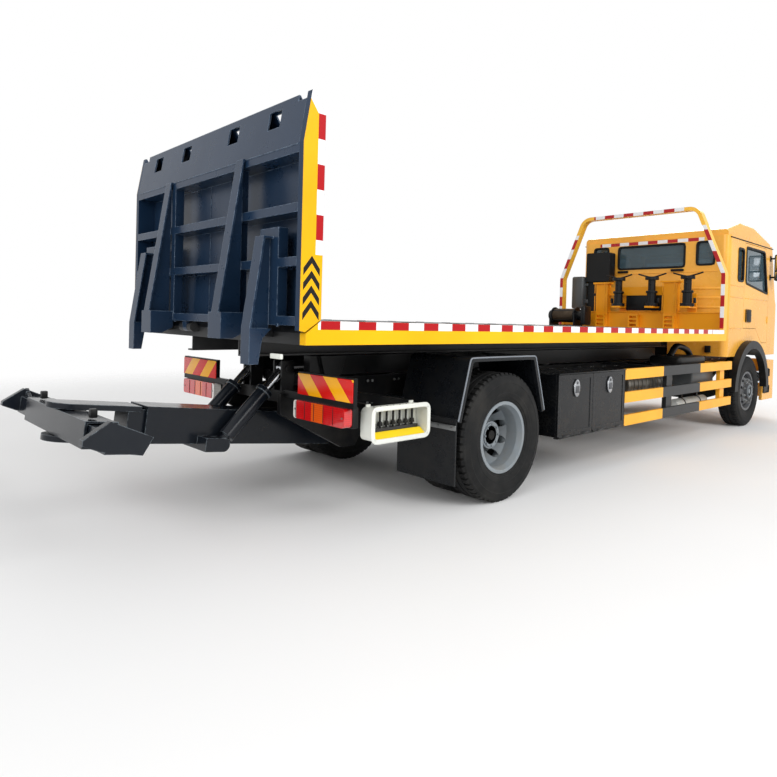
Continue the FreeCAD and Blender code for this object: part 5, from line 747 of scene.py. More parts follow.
for side, way in (("right", -1), ("left", 1)):
    for end, wheel in wheels.items():
        x, cap, body = wheel["x"], wheel["cap"], f"wheel_{end}_{side}"
        rings = [tyreAt(Vector((x, way * middle, axleZ))) for middle in wheel["middles"]]
        dress(f"{end}Tread_{side}", rings, "tyre", body,
              stands=(f"{end}_{wheel['tyre']}_{side}",))
        dress(f"{end}Nuts_{side}", [nutRing(x, wheel["nuts"], way)], "zinc", body)
        hub = lathe(hubCap["outline"], (x, way * cap, axleZ), (0, way, 0))
        height = axleZ + hubCap["circle"]
        bolt = rod((x, way * (cap - 0.004), height), (x, way * (cap + 0.018), height),
                   hubCap["across"], 6)
        ringOf(bolt, hubCap["bolts"], (x, 0, axleZ))
        dress(f"{end}HubCap_{side}", [hub, bolt], "wheelGrey", body)
print("wheels done")

# Tail: reflective panels and lamp housings
tail = {"panel": (-1.573, -1.565, 0.604, 1.211, 0.906, 1.056), "case": (-1.53, -1.478, 0.582, 1.168),
        "rib": (-1.598, -1.593, 0.62, 0.623), "ribs": 5, "ribStep": 0.105,
        "screw": (-1.6, -1.594, 0.612), "screwStep": 0.526, "screwRadius": 0.006,
        "marker": (-2.145, -2.125, -1.24, -1.13, 1.205, 1.235)}


def makeTail():
    dress("tailReflectors", blocks([tail["panel"]], 0.003), "panelMarks", "chassis", pair=True)
    low, high = (corner.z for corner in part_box("tail_lamps"))
    case = blocks([(*tail["case"], low - 0.008, high + 0.006)], 0.01)
    rib, = blocks([(*tail["rib"], low + 0.006, high - 0.006)])
    rear, front, y = tail["screw"]
    middle = (low + high) / 2
    screw = rod((rear, y, middle), (front, y, middle), tail["screwRadius"], 10)
    ribs = rowOf(rib, tail["ribs"], (0, tail["ribStep"], 0))
    screws = rowOf(screw, 2, (0, tail["screwStep"], 0))
    dress("lampHousings", case, "plasticBlack", "chassis", pair=True)
    dress("lampRibs", [ribs], "plasticBlack", "chassis", pair=True)
    dress("lampScrews", [screws], "zinc", "chassis", pair=True)
    dress("tailMarker", blocks([tail["marker"]], 0.004), "controlWhite", "deck")


# The lever box: bezel, tray and knobs
lever = {"count": 7, "rear": -1.34, "front": -0.97, "y": -1.156, "low": 0.714, "high": 0.842,
         "radius": 0.0085, "knobDrop": 0.01, "knobLean": (0, -0.2, 1), "gaiterRise": 0.014,
         "knob": ((0.0, 0.0), (0.008, 0.002), (0.014, 0.012), (0.013, 0.022), (0.006, 0.03),
                  (0.0, 0.031)),
         "gaiter": ((0.0, 0.0), (0.02, 0.0), (0.018, 0.008), (0.02, 0.012), (0.015, 0.018),
                    (0.016, 0.023), (0.008, 0.032), (0.0, 0.033))}
bezel = {"y": -1.24, "rear": -1.436, "front": -0.874, "low": 0.624, "high": 0.876, "corner": 0.062,
         "width": 0.034, "thick": 0.012, "tray": ((-1.236, 0.655), (-1.18, 0.694), (-1.18, 0.655)),
         "trayRear": -1.4, "trayLong": 0.49}


def rectangle(rear, front, y, low, high):  # corners of an upright opening in a side
    return [(rear, y, low), (front, y, low), (front, y, high), (rear, y, high)]


def gate(x, right, left, low, high):  # corners of an upright opening across the truck
    return [(x, right, low), (x, left, low), (x, left, high), (x, right, high)]


def makeControls():
    corners = rectangle(bezel["rear"], bezel["front"], bezel["y"], bezel["low"], bezel["high"])
    ring = ringPlate(corners, bezel["corner"], bezel["width"], (0, -bezel["thick"], 0), 0.005)
    dress("controlBezel", [ring], "bezelWhite", "chassis")
    tray = plate([(bezel["trayRear"], y, z) for y, z in bezel["tray"]], (bezel["trayLong"], 0, 0), 0.002)
    dress("controlTray", [tray], "trayYellow", "chassis")
    rear, y, low, high = (lever[key] for key in ("rear", "y", "low", "high"))
    knob = lathe(lever["knob"], (rear, y, high - lever["knobDrop"]), lever["knobLean"], 14)
    gaiter = lathe(lever["gaiter"], (rear, y, low + lever["gaiterRise"]), (0, 0, 1), 14)
    stick = rod((rear, y, low), (rear, y, high), lever["radius"], 10)
    step = (lever["front"] - rear) / (lever["count"] - 1)
    dress("leverSet", [rowOf(joined([knob, gaiter, stick]), lever["count"], (step, 0, 0))],
          "plasticBlack", "chassis")


makeTail()
makeControls()
print("tail done")

# Headboard, the stands' forks and the winch
head = {"lip": (4.881, 4.957, -1.186, 1.186, 1.652, 1.668), "posts": (-0.52, 0.52), "rear": 4.776,
        "front": 4.785, "edge": 0.08, "half": 0.005, "ridges": ((1.66, 1.9), (1.94, 2.08))}
stands = {"x": 4.765, "middles": ((0.21, -1), (-0.29, 1), (-0.79, 1)), "top": 2.165, "collarLow": 1.93,
          "horn": ((0.02, -0.004), (0.1, 0.012), (0.2, 0.046)), "hornRadius": 0.011,
          "pin": (-0.075, 0.03), "pinDrop": 0.1, "pinRadius": 0.014,
          "collar": ((0.0, 0.0), (0.072, 0.0), (0.078, 0.006), (0.078, 0.03), (0.07, 0.036),
                     (0.0, 0.036)),
          "clip": (0.085, 0.115, 1.79, 1.86), "clipHalf": 0.02}
winch = {"x": 4.56, "z": 1.589, "low": 0.776, "high": 1.144, "core": 0.05, "drum": 0.096, "rope": 0.0065,
         "case": (4.455, 4.665, 0.585, 0.655, 1.449, 1.735), "brake": (1.176, 1.225, 0.085),
         "ties": 4, "tieCircle": 0.1, "tieStart": 0.744, "tieRadius": 0.011}


def makeHeadboard():
    rear, front, edge, half = (head[key] for key in ("rear", "front", "edge", "half"))
    rows = [(rear, front, y - half, y + half, low, high) for post in head["posts"]
            for low, high in head["ridges"] for y in (post - edge, post + edge)]
    dress("headboardTrim", blocks([head["lip"]], 0.005) + blocks(rows, 0.002),
          "headOrange", "deck")


def makeStands():
    x, top = stands["x"], stands["top"]
    near, far, low, high = stands["clip"]
    (rear, front), half, pinZ = stands["pin"], stands["clipHalf"], top - stands["pinDrop"]
    parts = []
    for middle, lean in stands["middles"]:
        parts += [pipe([(x, middle + sign * out, top + rise) for out, rise in stands["horn"]],
                       stands["hornRadius"], 10) for sign in (-1, 1)]
        parts.append(rod((x + rear, middle, pinZ), (x + front, middle, pinZ),
                         stands["pinRadius"], 12, 0.003))
        parts.append(lathe(stands["collar"], (x, middle, stands["collarLow"]), (0, 0, 1), 28))
        parts.append(block((x - half, middle - near * lean, low),
                           (x + half, middle - far * lean, high), 0.005))
    dress("forkParts", parts, "standBlack", "deck")


def makeWinch():
    x, z, low, high, rope = (winch[key] for key in ("x", "z", "low", "high", "rope"))
    outline = [(winch["core"], low)]
    for number in range(int((high - low) / (rope * 2))):
        y, radius = low + rope * (2 * number + 1), winch["drum"] + rope
        outline += [(radius - 0.005, y - rope * 0.9), (radius + rope * 0.7, y - 0.003),
                    (radius + rope * 0.7, y + 0.003)]
    outline += [(winch["core"], high), (winch["core"], low)]
    dress("winchRope", [lathe(outline, (x, 0, z), (0, 1, 0), 40)], "rope", "deck")
    start, end, radius = winch["brake"]
    parts = blocks([winch["case"]], 0.02, 3) + [rod((x, start, z), (x, end, z), radius, 28, 0.01)]
    for number in range(winch["ties"]):
        turn = math.radians(45 + number * 360 / winch["ties"])
        tieX, tieZ = x + winch["tieCircle"] * math.cos(turn), z + winch["tieCircle"] * math.sin(turn)
        parts.append(rod((tieX, winch["tieStart"], tieZ), (tieX, start, tieZ), winch["tieRadius"], 12))
    dress("winchCase", parts, "winchGrey", "deck")


makeHeadboard()
makeStands()
makeWinch()
print("headboard done")

# Toolbox locks
locks = {"face": -1.24, "rear": 1.123, "front": 1.757, "z": 0.86, "wide": 0.05, "tall": 0.082,
         "thick": 0.011, "paddle": ((-0.03, -0.018, -0.045), (0.03, -0.009, 0.02)),
         "key": ((0, -0.016, 0.05), (0, -0.009, 0.05)), "keyRadius": 0.013}


def makeLocks():
    y, z, thick = locks["face"], locks["z"], locks["thick"]
    for word in ("rear", "front"):
        x, body = locks[word], f"toolbox_door_{word}"
        oval = ovalPlate((x, y - thick, z), (locks["wide"], 0, 0), (0, 0, locks["tall"]), (0, thick, 0))
        rounded(oval, 0.003, 2, lambda middle, line: abs(line.y) < 0.5 and middle.y < y - thick / 2)
        paddle = block(*[(x + ahead, y + out, z + rise) for ahead, out, rise in locks["paddle"]], 0.004)
        key = rod(*[(x + ahead, y + out, z + rise) for ahead, out, rise in locks["key"]],
                  locks["keyRadius"], 16)
        dress(f"toolboxLock_{word}", [oval], "chrome", body)
        dress(f"toolboxPaddle_{word}", [paddle, key], "steel", body)


makeLocks()
print("sides done")

# The cab's rubbers, panes, trims and lamps
screen = {"foot": 7.56, "low": 1.96, "lean": 0.2805, "ahead": 0.9628, "rise": 0.2701, "half": 1.025,
          "sealLow": 2.005, "sealHigh": 2.695, "sealWidth": 0.042, "sealDepth": 0.034}
cabTrim = {"side": 1.13, "rear": 5.32, "depth": 0.03, "width": 0.03, "corner": 0.065,
           "rearWindows": ((-0.525, 0.525, 2.33, 2.705), (0.67, 0.94, 2.35, 2.71),
                           (-0.94, -0.67, 2.35, 2.71)),
           "quarter": (5.695, 5.955, 2.135, 2.635),
           "doorSeal": ((6.03, 2.118), (7.088, 2.003), (6.9, 2.68), (6.03, 2.68)),
           "doorPane": ((6.046, 2.131), (7.069, 2.021), (6.889, 2.664), (6.046, 2.664)),
           "paneFace": 1.098, "doorBar": (6.052, 6.078, 1.096, 1.126, 2.135, 2.66),
           "handle": (6.074, 6.296, 1.118, 1.141, 1.554, 1.746),
           "key": ((6.335, 1.119, 1.66), (6.335, 1.126, 1.66))}


def screenAt(y, z, lift=0.0):  # a point on the windscreen's slope, or out from it
    x = screen["foot"] - (z - screen["low"]) * screen["lean"]
    return Vector((x + screen["ahead"] * lift, y, z + screen["rise"] * lift))


def makeSeals():
    width, corner, depth, side = (cabTrim[key] for key in ("width", "corner", "depth", "side"))
    seals = [ringPlate(gate(cabTrim["rear"], *window), corner, width, (depth, 0, 0), 0.004)
             for window in cabTrim["rearWindows"]]
    rear, front, low, high = cabTrim["quarter"]
    quarter = ringPlate(rectangle(rear, front, side, low, high), corner, width, (0, -depth, 0), 0.004)
    half, low, high = screen["half"], screen["sealLow"], screen["sealHigh"]
    glass = [screenAt(y, z, 0.008) for y, z in ((-half, low), (half, low), (half, high), (-half, high))]
    inward = Vector((screen["ahead"], 0, screen["rise"])) * -screen["sealDepth"]
    seals.append(ringPlate(glass, corner, screen["sealWidth"], inward, 0.004))
    dress("windowRubbers", seals + [quarter, mirrored(quarter)], "rubberBlack", "cab")
    seal = ringPlate([(x, side, z) for x, z in cabTrim["doorSeal"]], corner, width,
                     (0, -depth, 0), 0.004)
    pane = plate([(x, cabTrim["paneFace"], z) for x, z in cabTrim["doorPane"]], (0, -0.006, 0))
    bar = blocks([cabTrim["doorBar"]], 0.004)
    handle = blocks([cabTrim["handle"]], 0.016, 3)
    key = rod(*cabTrim["key"], 0.013, 18, 0.002)
    left = (joined([seal] + bar + handle), pane, key)
    for word, (black, glass, lock) in (("left", left), ("right", [mirrored(part) for part in left])):
        dress(f"doorPane_{word}", [glass], "glass", f"door_{word}", smooth=0)
        dress(f"doorKey_{word}", [lock], "zinc", f"door_{word}")
        dress(f"doorRubber_{word}", [black], "rubberBlack", f"door_{word}")


wiper = {"feet": (-0.72, 0.05), "low": 1.985, "pivot": ((-0.03, 0, -0.01), (0.03, 0, 0.008)),
         "pivotRadius": 0.017, "armRadius": 0.007, "lift": (0.012, 0, 0.004), "spine": (0.12, 0.88),
         "arm": ((0.0, 0.0, 0.012), (0.05, 0.03, 0.045), (0.25, 0.15, 0.045), (0.46, 0.26, 0.03)),
         "blade": ((0.14, 0.055, 0.012), (0.76, 0.4, 0.012)), "radii": (0.009, 0.006)}


def makeWipers():
    parts, low, lift = [], wiper["low"], Vector(wiper["lift"])
    rubber, spine = wiper["radii"]
    for y in wiper["feet"]:
        arm, blade = ([screenAt(y + aside, low + rise, out) for aside, rise, out in wiper[key]]
                      for key in ("arm", "blade"))
        parts.append(rod(*[arm[0] + Vector(shift) for shift in wiper["pivot"]],
                         wiper["pivotRadius"], 18, 0.004))
        parts.append(pipe(arm, wiper["armRadius"]))
        parts.append(rod(*blade, rubber, 8, 0.002))
        parts.append(rod(*[blade[0].lerp(blade[1], share) + lift for share in wiper["spine"]], spine, 8))
    dress("wipers", parts, "rubberBlack", "cab")


ridges = {"count": 4, "step": 0.135, "long": (5.322, 5.336, -1.02, -0.6, 1.6, 1.632),
          "lines": ((5.324, 5.334, 0.6, 1.02, 1.6, 1.632), (5.324, 5.334, 0.6, 1.02, 2.005, 2.037),
                    (5.322, 5.334, -0.99, 0.99, 2.262, 2.274)),
          "side": ((5.43, 5.945, 1.116, 1.127, 1.9, 1.914), (5.43, 5.945, 1.116, 1.127, 1.452, 1.466),
                   (5.43, 5.945, 1.116, 1.127, 2.068, 2.078)),
          "door": (6.06, 7.09, 1.117, 1.126, 1.905, 1.915), "doorSpan": 2.243}
cabBlacks = {"gutter": (5.38, 7.28, 1.112, 1.129, 2.742, 2.756), "frontGutter": (1.05, 2.735, 2.755),
             "blocks": ((5.292, 5.334, 0.345, 0.505, 2.283, 2.316),
                        (5.292, 5.334, -0.505, -0.325, 2.283, 2.316)),
             "buffers": ((5.3, 5.334, -0.92, -0.84, 1.1, 1.2), (5.3, 5.334, 0.84, 0.92, 1.1, 1.2)),
             "grille": (7.5805, 7.584, -0.699, 0.699, 1.181, 1.779),
             "splits": ((7.604, 7.6125, -1.03, 1.03, 1.868, 1.88),
                        (7.604, 7.6125, -1.03, 1.03, 1.128, 1.138),
                        (7.585, 7.6115, -0.012, 0.012, 1.182, 1.778)),
             "roofLamp": (7.205, 7.245, -0.9, -0.78, 2.862, 2.892), "roofLampStep": 1.68}


def makeCabTrim():
    *flat, low, high = ridges["long"]
    ribs = blocks([(*flat, low + step * ridges["step"], high + step * ridges["step"])
                   for step in range(ridges["count"])], 0.006, 3)
    dress("cabBackRibs", ribs + blocks(ridges["lines"], 0.005, 3), "cabAmber", "cab")
    dress("cabSideRidges", blocks(ridges["side"], 0.004), "cabAmber", "cab", pair=True)
    ridge, = blocks([ridges["door"]], 0.004)
    dress("doorRidge_right", [copied(ridge, (0, -ridges["doorSpan"], 0))],
          "cabAmber", "door_right")
    dress("cabRidge_3", [ridge], "cabAmber", "door_left")
    dress("cabGutters", blocks([cabBlacks["gutter"]], 0.004), "rubberBlack", "cab", pair=True)
    half, low, high = cabBlacks["frontGutter"]
    blacks = [block(screenAt(-half, low, 0.004), screenAt(half, high, 0.014), 0.003)]
    blacks += blocks(cabBlacks["blocks"], 0.006) + blocks(cabBlacks["buffers"], 0.008)
    blacks += blocks([cabBlacks["grille"]]) + blocks(cabBlacks["splits"], 0.002)
    dress("cabBlacks", blacks, "rubberBlack", "cab")
    lamp, = blocks([cabBlacks["roofLamp"]], 0.01, 3)
    dress("roofLamp", [rowOf(lamp, 2, (0, cabBlacks["roofLampStep"], 0))], "orangeLens", "cab")


mirror = {"panes": ((2.395, 2.636), (2.245, 2.38)), "rims": ((2.388, 2.644), (2.236, 2.386)),
          "pane": (0.004, 0.176, 0.014), "rim": (0.008, 0.184, 0.006), "rimDepth": 0.014,
          "feet": ((7.15, 7.22, 1.113, 1.13, 2.545, 2.635), (7.15, 7.22, 1.113, 1.13, 2.245, 2.335))}


def makeMirrors():
    inner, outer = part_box("mirrors")
    x, y = inner.x - axleX, outer.y
    half, near, far = mirror["pane"]
    panes = blocks([(x - half, x + half, y - near, y - far, low, high)
                    for low, high in mirror["panes"]], 0.002)
    dress("mirrorPanes", panes, "mirror", "cab", pair=True)
    back, near, far = mirror["rim"]
    rims = [ringPlate(gate(x - back, y - near, y - far, low, high), 0.02, 0.01,
                      (mirror["rimDepth"], 0, 0), 0.002) for low, high in mirror["rims"]]
    dress("mirrorRims", rims + blocks(mirror["feet"], 0.006), "plasticBlack", "cab", pair=True)


frontLamps = {"x": 7.628, "places": (0.7, 0.86), "z": 0.655, "bowlBack": 0.032,
              "bulb": (-0.03, -0.006), "bulbRadius": 0.012,
              "bowl": ((0.0, 0.0), (0.02, 0.0), (0.045, 0.012), (0.074, 0.034), (0.078, 0.034),
                       (0.078, -0.004), (0.0, -0.004)),
              "turn": (7.6, 7.64, 0.965, 1.075, 0.59, 0.72), "frame": (7.688, 0.6, 0.96, 0.545, 0.765),
              "fogRim": ((0.0, 0.0), (0.066, 0.0), (0.062, 0.01), (0.052, 0.01), (0.05, 0.004),
                         (0.0, 0.004)),
              "fogLens": ((0.0, 0.0), (0.05, 0.0), (0.044, 0.008), (0.02, 0.012), (0.0, 0.013)),
              "rimAt": (7.689, 0.8, 0.43), "lensAt": (7.692, 0.8, 0.43),
              "towPin": ((7.62, 0.33, 0.47), (7.7, 0.33, 0.47))}
bumper = {"steps": ((7.02, 7.3, 1.117, 1.125, 0.44, 0.56), (7.02, 7.3, 1.117, 1.125, 0.7, 0.82)),
          "treads": ((7.03, 7.29, 1.1, 1.128, 0.56, 0.57), (7.03, 7.29, 1.1, 1.128, 0.82, 0.83)),
          "middle": ((7.686, 7.694, -0.52, 0.52, 0.79, 0.9), (7.686, 7.693, -0.66, 0.66, 0.362, 0.372))}


def makeLamps():
    x, z, ahead = frontLamps["x"], frontLamps["z"], (1, 0, 0)
    bowls = [lathe(frontLamps["bowl"], (x - frontLamps["bowlBack"], y, z), ahead)
             for y in frontLamps["places"]]
    bulbs = rods([[(x + shift, y, z) for shift in frontLamps["bulb"]] for y in frontLamps["places"]],
                 frontLamps["bulbRadius"], 14, 0.003)
    dress("lampBowls", bowls + bulbs, "chrome", "chassis", pair=True)
    dress("turnLamps", blocks([frontLamps["turn"]], 0.012, 3), "orangeLens", "chassis", pair=True)
    trims = [ringPlate(gate(*frontLamps["frame"]), 0.03, 0.018, (0.01, 0, 0), 0.003)]
    trims += blocks(bumper["steps"], 0.02, 3) + blocks(bumper["treads"], 0.003)
    trims.append(lathe(frontLamps["fogRim"], frontLamps["rimAt"], ahead, 28))
    dress("bumperTrims", trims, "plasticBlack", "chassis", pair=True)
    dress("bumperMiddles", blocks(bumper["middle"], 0.004), "plasticBlack", "chassis")
    fog = lathe(frontLamps["fogLens"], frontLamps["lensAt"], ahead, 28)
    dress("fogLenses", [fog], "headLens", "chassis", pair=True)
    dress("towPins", [rod(*frontLamps["towPin"], 0.022, 18, 0.004)], "zinc", "chassis", pair=True)


makeSeals()
makeWipers()
makeCabTrim()
makeMirrors()
makeLamps()
print("cab done")

# The cab's inside: padded seats and the dashboard's fittings
seat = {"middle": 0.56, "width": 0.5, "rear": 5.9, "back": 0.14, "depth": 0.48, "foot": 1.33,
        "high": 0.15, "tall": 0.64, "lean": -0.07, "voxel": 0.01, "pressure": 4.0,
        "limit": 0.014, "frames": 20, "clear": 0.004, "inset": 0.012, "soft": 0.035,
        "seam": 0.008, "piping": 0.006, "padSeam": 0.13, "backSeams": (0.14, 0.3)}


def puffed(piece, held):  # swells a pad, pulled in where it is sewn
    modified(piece, "REMESH", mode="VOXEL", voxel_size=seat["voxel"])
    start = [vertex.co.copy() for vertex in piece.data.vertices]
    group = piece.vertex_groups.new(name="sewn")
    group.add([n for n, place in enumerate(start) if held(place)], 1.0, "REPLACE")
    makeActive(piece)
    bpy.ops.object.modifier_add(type="CLOTH")
    cloth = piece.modifiers[-1]
    cloth.settings.vertex_group_mass = "sewn"
    cloth.settings.use_pressure = True
    cloth.settings.uniform_pressure_force = seat["pressure"]
    cloth.settings.effector_weights.gravity = 0
    cloth.settings.quality = 4
    for number in range(1, seat["frames"] + 1):
        bpy.context.scene.frame_set(number)
    bpy.ops.object.modifier_apply(modifier=cloth.name)
    bpy.context.scene.frame_set(1)
    for vertex, place in zip(piece.data.vertices, start):
        move = vertex.co - place
        if move.length > seat["limit"]:
            vertex.co = place + move.normalized() * seat["limit"]
    piece.vertex_groups.clear()
    return modified(piece, "SMOOTH", factor=0.5, iterations=3)


def makeSeats():
    side, heel, soft, clear, inset, seamed, piped = (seat[key] for key in (
        "middle", "rear", "soft", "clear", "inset", "seam", "piping"))
    low, high = seat["foot"] + clear, seat["foot"] + seat["high"]
    top, middle = high + seat["tall"], (low + high) / 2
    rear, front = heel + seat["back"] * 0.7, heel + seat["back"] + seat["depth"]
    near, far = side - seat["width"] / 2 + inset, side + seat["width"] / 2 - inset
    seams = (side - seat["padSeam"], side + seat["padSeam"])
    rests = [high + rise for rise in seat["backSeams"]]
    pad = block((rear, near, low), (front, far, high - 0.01), soft, 4)
    puffed(pad, lambda place: min(abs(place.y - seam) for seam in seams) < seamed and place.z > middle
           or abs(place.z - middle) < piped or place.z < low + clear)
    back = block((heel + inset, near, high - 0.03), (heel + 0.128, far, top - 0.17), soft, 4)
    puffed(back, lambda place: min(abs(place.z - seam) for seam in rests) < seamed
           or abs(place.x - axleX - heel - seat["back"] / 2) < piped)
    turned(back, seat["lean"], (heel, 0, high))
    rest = block((heel - 0.035, side - 0.15, top - 0.15), (heel + 0.065, side + 0.15, top), soft, 4)
    puffed(rest, lambda place: abs(place.x - axleX - heel - 0.015) < piped)
    stays = rods([((heel + 0.015, side + gap, top - 0.2), (heel + 0.01, side + gap, top - 0.1))
                  for gap in (-0.07, 0.07)], 0.007, 10)
    base = blocks([(heel + 0.15, front - 0.02, near + 0.05, 0.675, 1.132, low),
                   (rear, front - 0.01, near + 0.02, far - 0.02, low - 0.012, low + 0.02)], 0.012)
    shell = plate([(heel + x, near + 0.03, z) for x, z in (
        (-0.005, high - 0.06), (0.02, high - 0.06), (-0.025, top - 0.18), (-0.045, top - 0.18))],
        (0, seat["width"] - 0.08, 0), 0.006, 2)
    for number, (name, left) in enumerate((("seatPad", pad), ("seatBack", back), ("seatHead", rest))):
        right = mirrored(left)
        for word, twin in ((name, left), (f"seatPadRight_{number}", right)):
            dress(word, [twin], "cloth", "cab", smooth=60)
    dress("seatStays", stays, "chrome", "cab", pair=True)
    dress("seatBases", base + [shell], "plasticBlack", "cab", pair=True, stands=("seats",))


dash = {"parts": ((6.95, 7.16, 0.36, 0.76, 1.875, 1.945), (6.962, 7.02, -0.14, 0.2, 1.6, 1.84),
                  (6.955, 7.00, -0.95, -0.35, 1.62, 1.75), (6.4, 6.62, -0.2, 0.2, 1.325, 1.365),
                  (5.4, 5.62, -1.0, 1.0, 1.34, 1.4)),
        "gear": ((6.5, 0.06, 1.36), (6.53, 0.06, 1.62)),
        "knob": ((0.0, 0.0), (0.014, 0.003), (0.026, 0.03), (0.022, 0.052), (0.0, 0.06)),
        "stalks": (((6.88, 0.56, 1.9), (6.86, 0.76, 1.925)), ((6.88, 0.56, 1.9), (6.86, 0.36, 1.925))),
        "visors": ((7.2, 7.222, 0.2, 0.95, 2.6, 2.7), (7.2, 7.222, -0.95, -0.2, 2.6, 2.7)),
        "vents": (0.92, 0.3, -0.26, -0.99), "vent": ((6.955, 1.79), (6.978, 1.79)), "ventRadius": 0.038,
        "dials": (0.45, 0.53, 0.61, 0.69), "dial": ((6.944, 1.907), (6.951, 1.907)), "dialRadius": 0.03,
        "screen": (6.958, 6.963, -0.09, 0.15, 1.7, 1.81),
        "lining": ((5.376, 5.384, -1.06, 1.06, 1.14, 2.3), (5.4, 5.62, 1.06, 1.072, 1.2, 2.1),
                   (5.4, 5.62, -1.072, -1.06, 1.2, 2.1), (5.42, 7.12, -0.99, 0.99, 2.742, 2.75))}


def makeDash():
    parts = blocks(dash["parts"], 0.018, 3) + [rod(*dash["gear"], 0.01, 12)]
    parts.append(lathe(dash["knob"], (6.53, 0.06, 1.61), (0.1, 0, 1), 20))
    parts += rods(dash["stalks"], 0.008, 10) + blocks(dash["visors"], 0.006)
    parts += rods([[(x, y, z) for x, z in dash["vent"]] for y in dash["vents"]],
                  dash["ventRadius"], 24, 0.004)
    dress("dashParts", parts, "plasticBlack", "cab")
    dials = rods([[(x, y, z) for x, z in dash["dial"]] for y in dash["dials"]],
                 dash["dialRadius"], 28, 0.001)
    dress("dashDials", dials + blocks([dash["screen"]], 0.001), "glass", "cab")
    dress("cabLining", blocks(dash["lining"], 0.003), "tankGrey", "cab")


makeSeats()
makeDash()
print("inside done")

# Things that hang from the frame, on the right, the left and both
toolTrim = {"hinges": (0.9, 1.24, 1.52, 1.9), "hingeLong": 0.11, "hingeAt": (-1.24, 0.428),
            "hingeRadius": 0.0115,
            "ledges": ((0.812, 2.088, -1.252, -1.19, 0.993, 1.004),
                       (0.812, 2.088, -1.248, -1.2, 0.412, 0.42)),
            "straps": ((0.816, 0.826, -1.2415, -1.2, 0.43, 0.99),
                       (2.074, 2.084, -1.2415, -1.2, 0.43, 0.99))}
muffler = {"y": -0.92, "z": 0.79, "bandX": 2.64, "bands": 8, "bandStep": 0.1,
           "band": ((0.16, -0.012), (0.172, -0.01), (0.172, 0.01), (0.16, 0.012), (0.16, -0.012)),
           "cap": ((0.0, 0.0), (0.09, 0.004), (0.15, 0.016), (0.165, 0.034), (0.165, 0.05), (0.0, 0.05)),
           "ends": ((2.512, 1), (3.468, -1))}
rightSide = {"cover": (3.72, 4.56, -1.14, -0.74, 0.965, 1.09),
             "duct": ((3.9, 1.08), (4.02, 1.19), (4.11, 1.215), (4.38, 1.175), (4.52, 1.11),
                      (4.55, 1.05)),
             "ductY": -0.94,
             "legs": ((3.8, 3.86, -1.0, -0.432, 0.945, 0.975), (4.42, 4.48, -1.0, -0.432, 0.945, 0.975)),
             "case": (4.14, 4.86, -1.13, -0.78, 0.69, 0.89),
             "lid": (4.12, 4.872, -1.14, -0.77, 0.872, 0.9),
             "arms": ((4.2, 4.25, -1.0, -0.432, 0.888, 0.925), (4.74, 4.79, -1.0, -0.432, 0.888, 0.925)),
             "bottle": (3.98, 4.98), "bottleAt": (-0.96, 0.46), "bottleRadius": 0.07,
             "straps": (4.2, 4.7), "strapWide": 0.03, "strapRadius": 0.073,
             "drops": ((4.2, 4.23, -0.98, -0.94, 0.52, 0.7), (4.7, 4.73, -0.98, -0.94, 0.52, 0.7))}
fender = {"lipY": 1.259, "lip": ((-0.58, 0.705), (-0.548, 0.82), (-0.465, 1.125), (-0.452, 1.172),
                                 (-0.405, 1.176), (0.365, 1.176), (0.412, 1.172), (0.426, 1.125),
                                 (0.527, 0.82), (0.56, 0.705)),
          "bolts": (0.72, 0.9, 1.08, 1.22), "boltX": -0.604, "boltZ": 0.655,
          "bar": (-0.606, -0.595, 0.64, 1.25, 0.635, 0.675)}
leftSide = {"tanks": ((2.45, 0.62, 0.8), (3.25, 0.62, 0.8), (2.45, 0.9, 0.74)), "bands": (0.15, 0.46),
            "bandWide": 0.03, "bandRadius": 0.128,
            "tank": ((0.0, 0.0), (0.07, 0.006), (0.115, 0.035), (0.125, 0.07), (0.125, 0.58),
                     (0.115, 0.615), (0.07, 0.644), (0.0, 0.65)),
            "arms": (2.6, 2.91, 3.4, 3.71), "armWide": 0.05, "arm": (0.431, 0.96, 0.925, 0.955),
            "battery": ((4.1, 4.8, 0.52, 1.1, 0.62, 0.93), (4.08, 4.82, 0.5, 1.12, 0.915, 0.955),
                        (4.2, 4.26, 0.431, 0.6, 0.955, 0.975), (4.64, 4.7, 0.431, 0.6, 0.955, 0.975)),
            "container": (5.02, 5.24, 0.945, 1.15, 1.71, 2.23),
            "clips": ((5.1, 5.14, 0.9, 0.96, 1.8, 1.86), (5.1, 5.14, 0.9, 0.96, 2.08, 2.12)),
            "panel": (4.897, 4.903, -0.475, 0.151, 1.687, 1.911)}


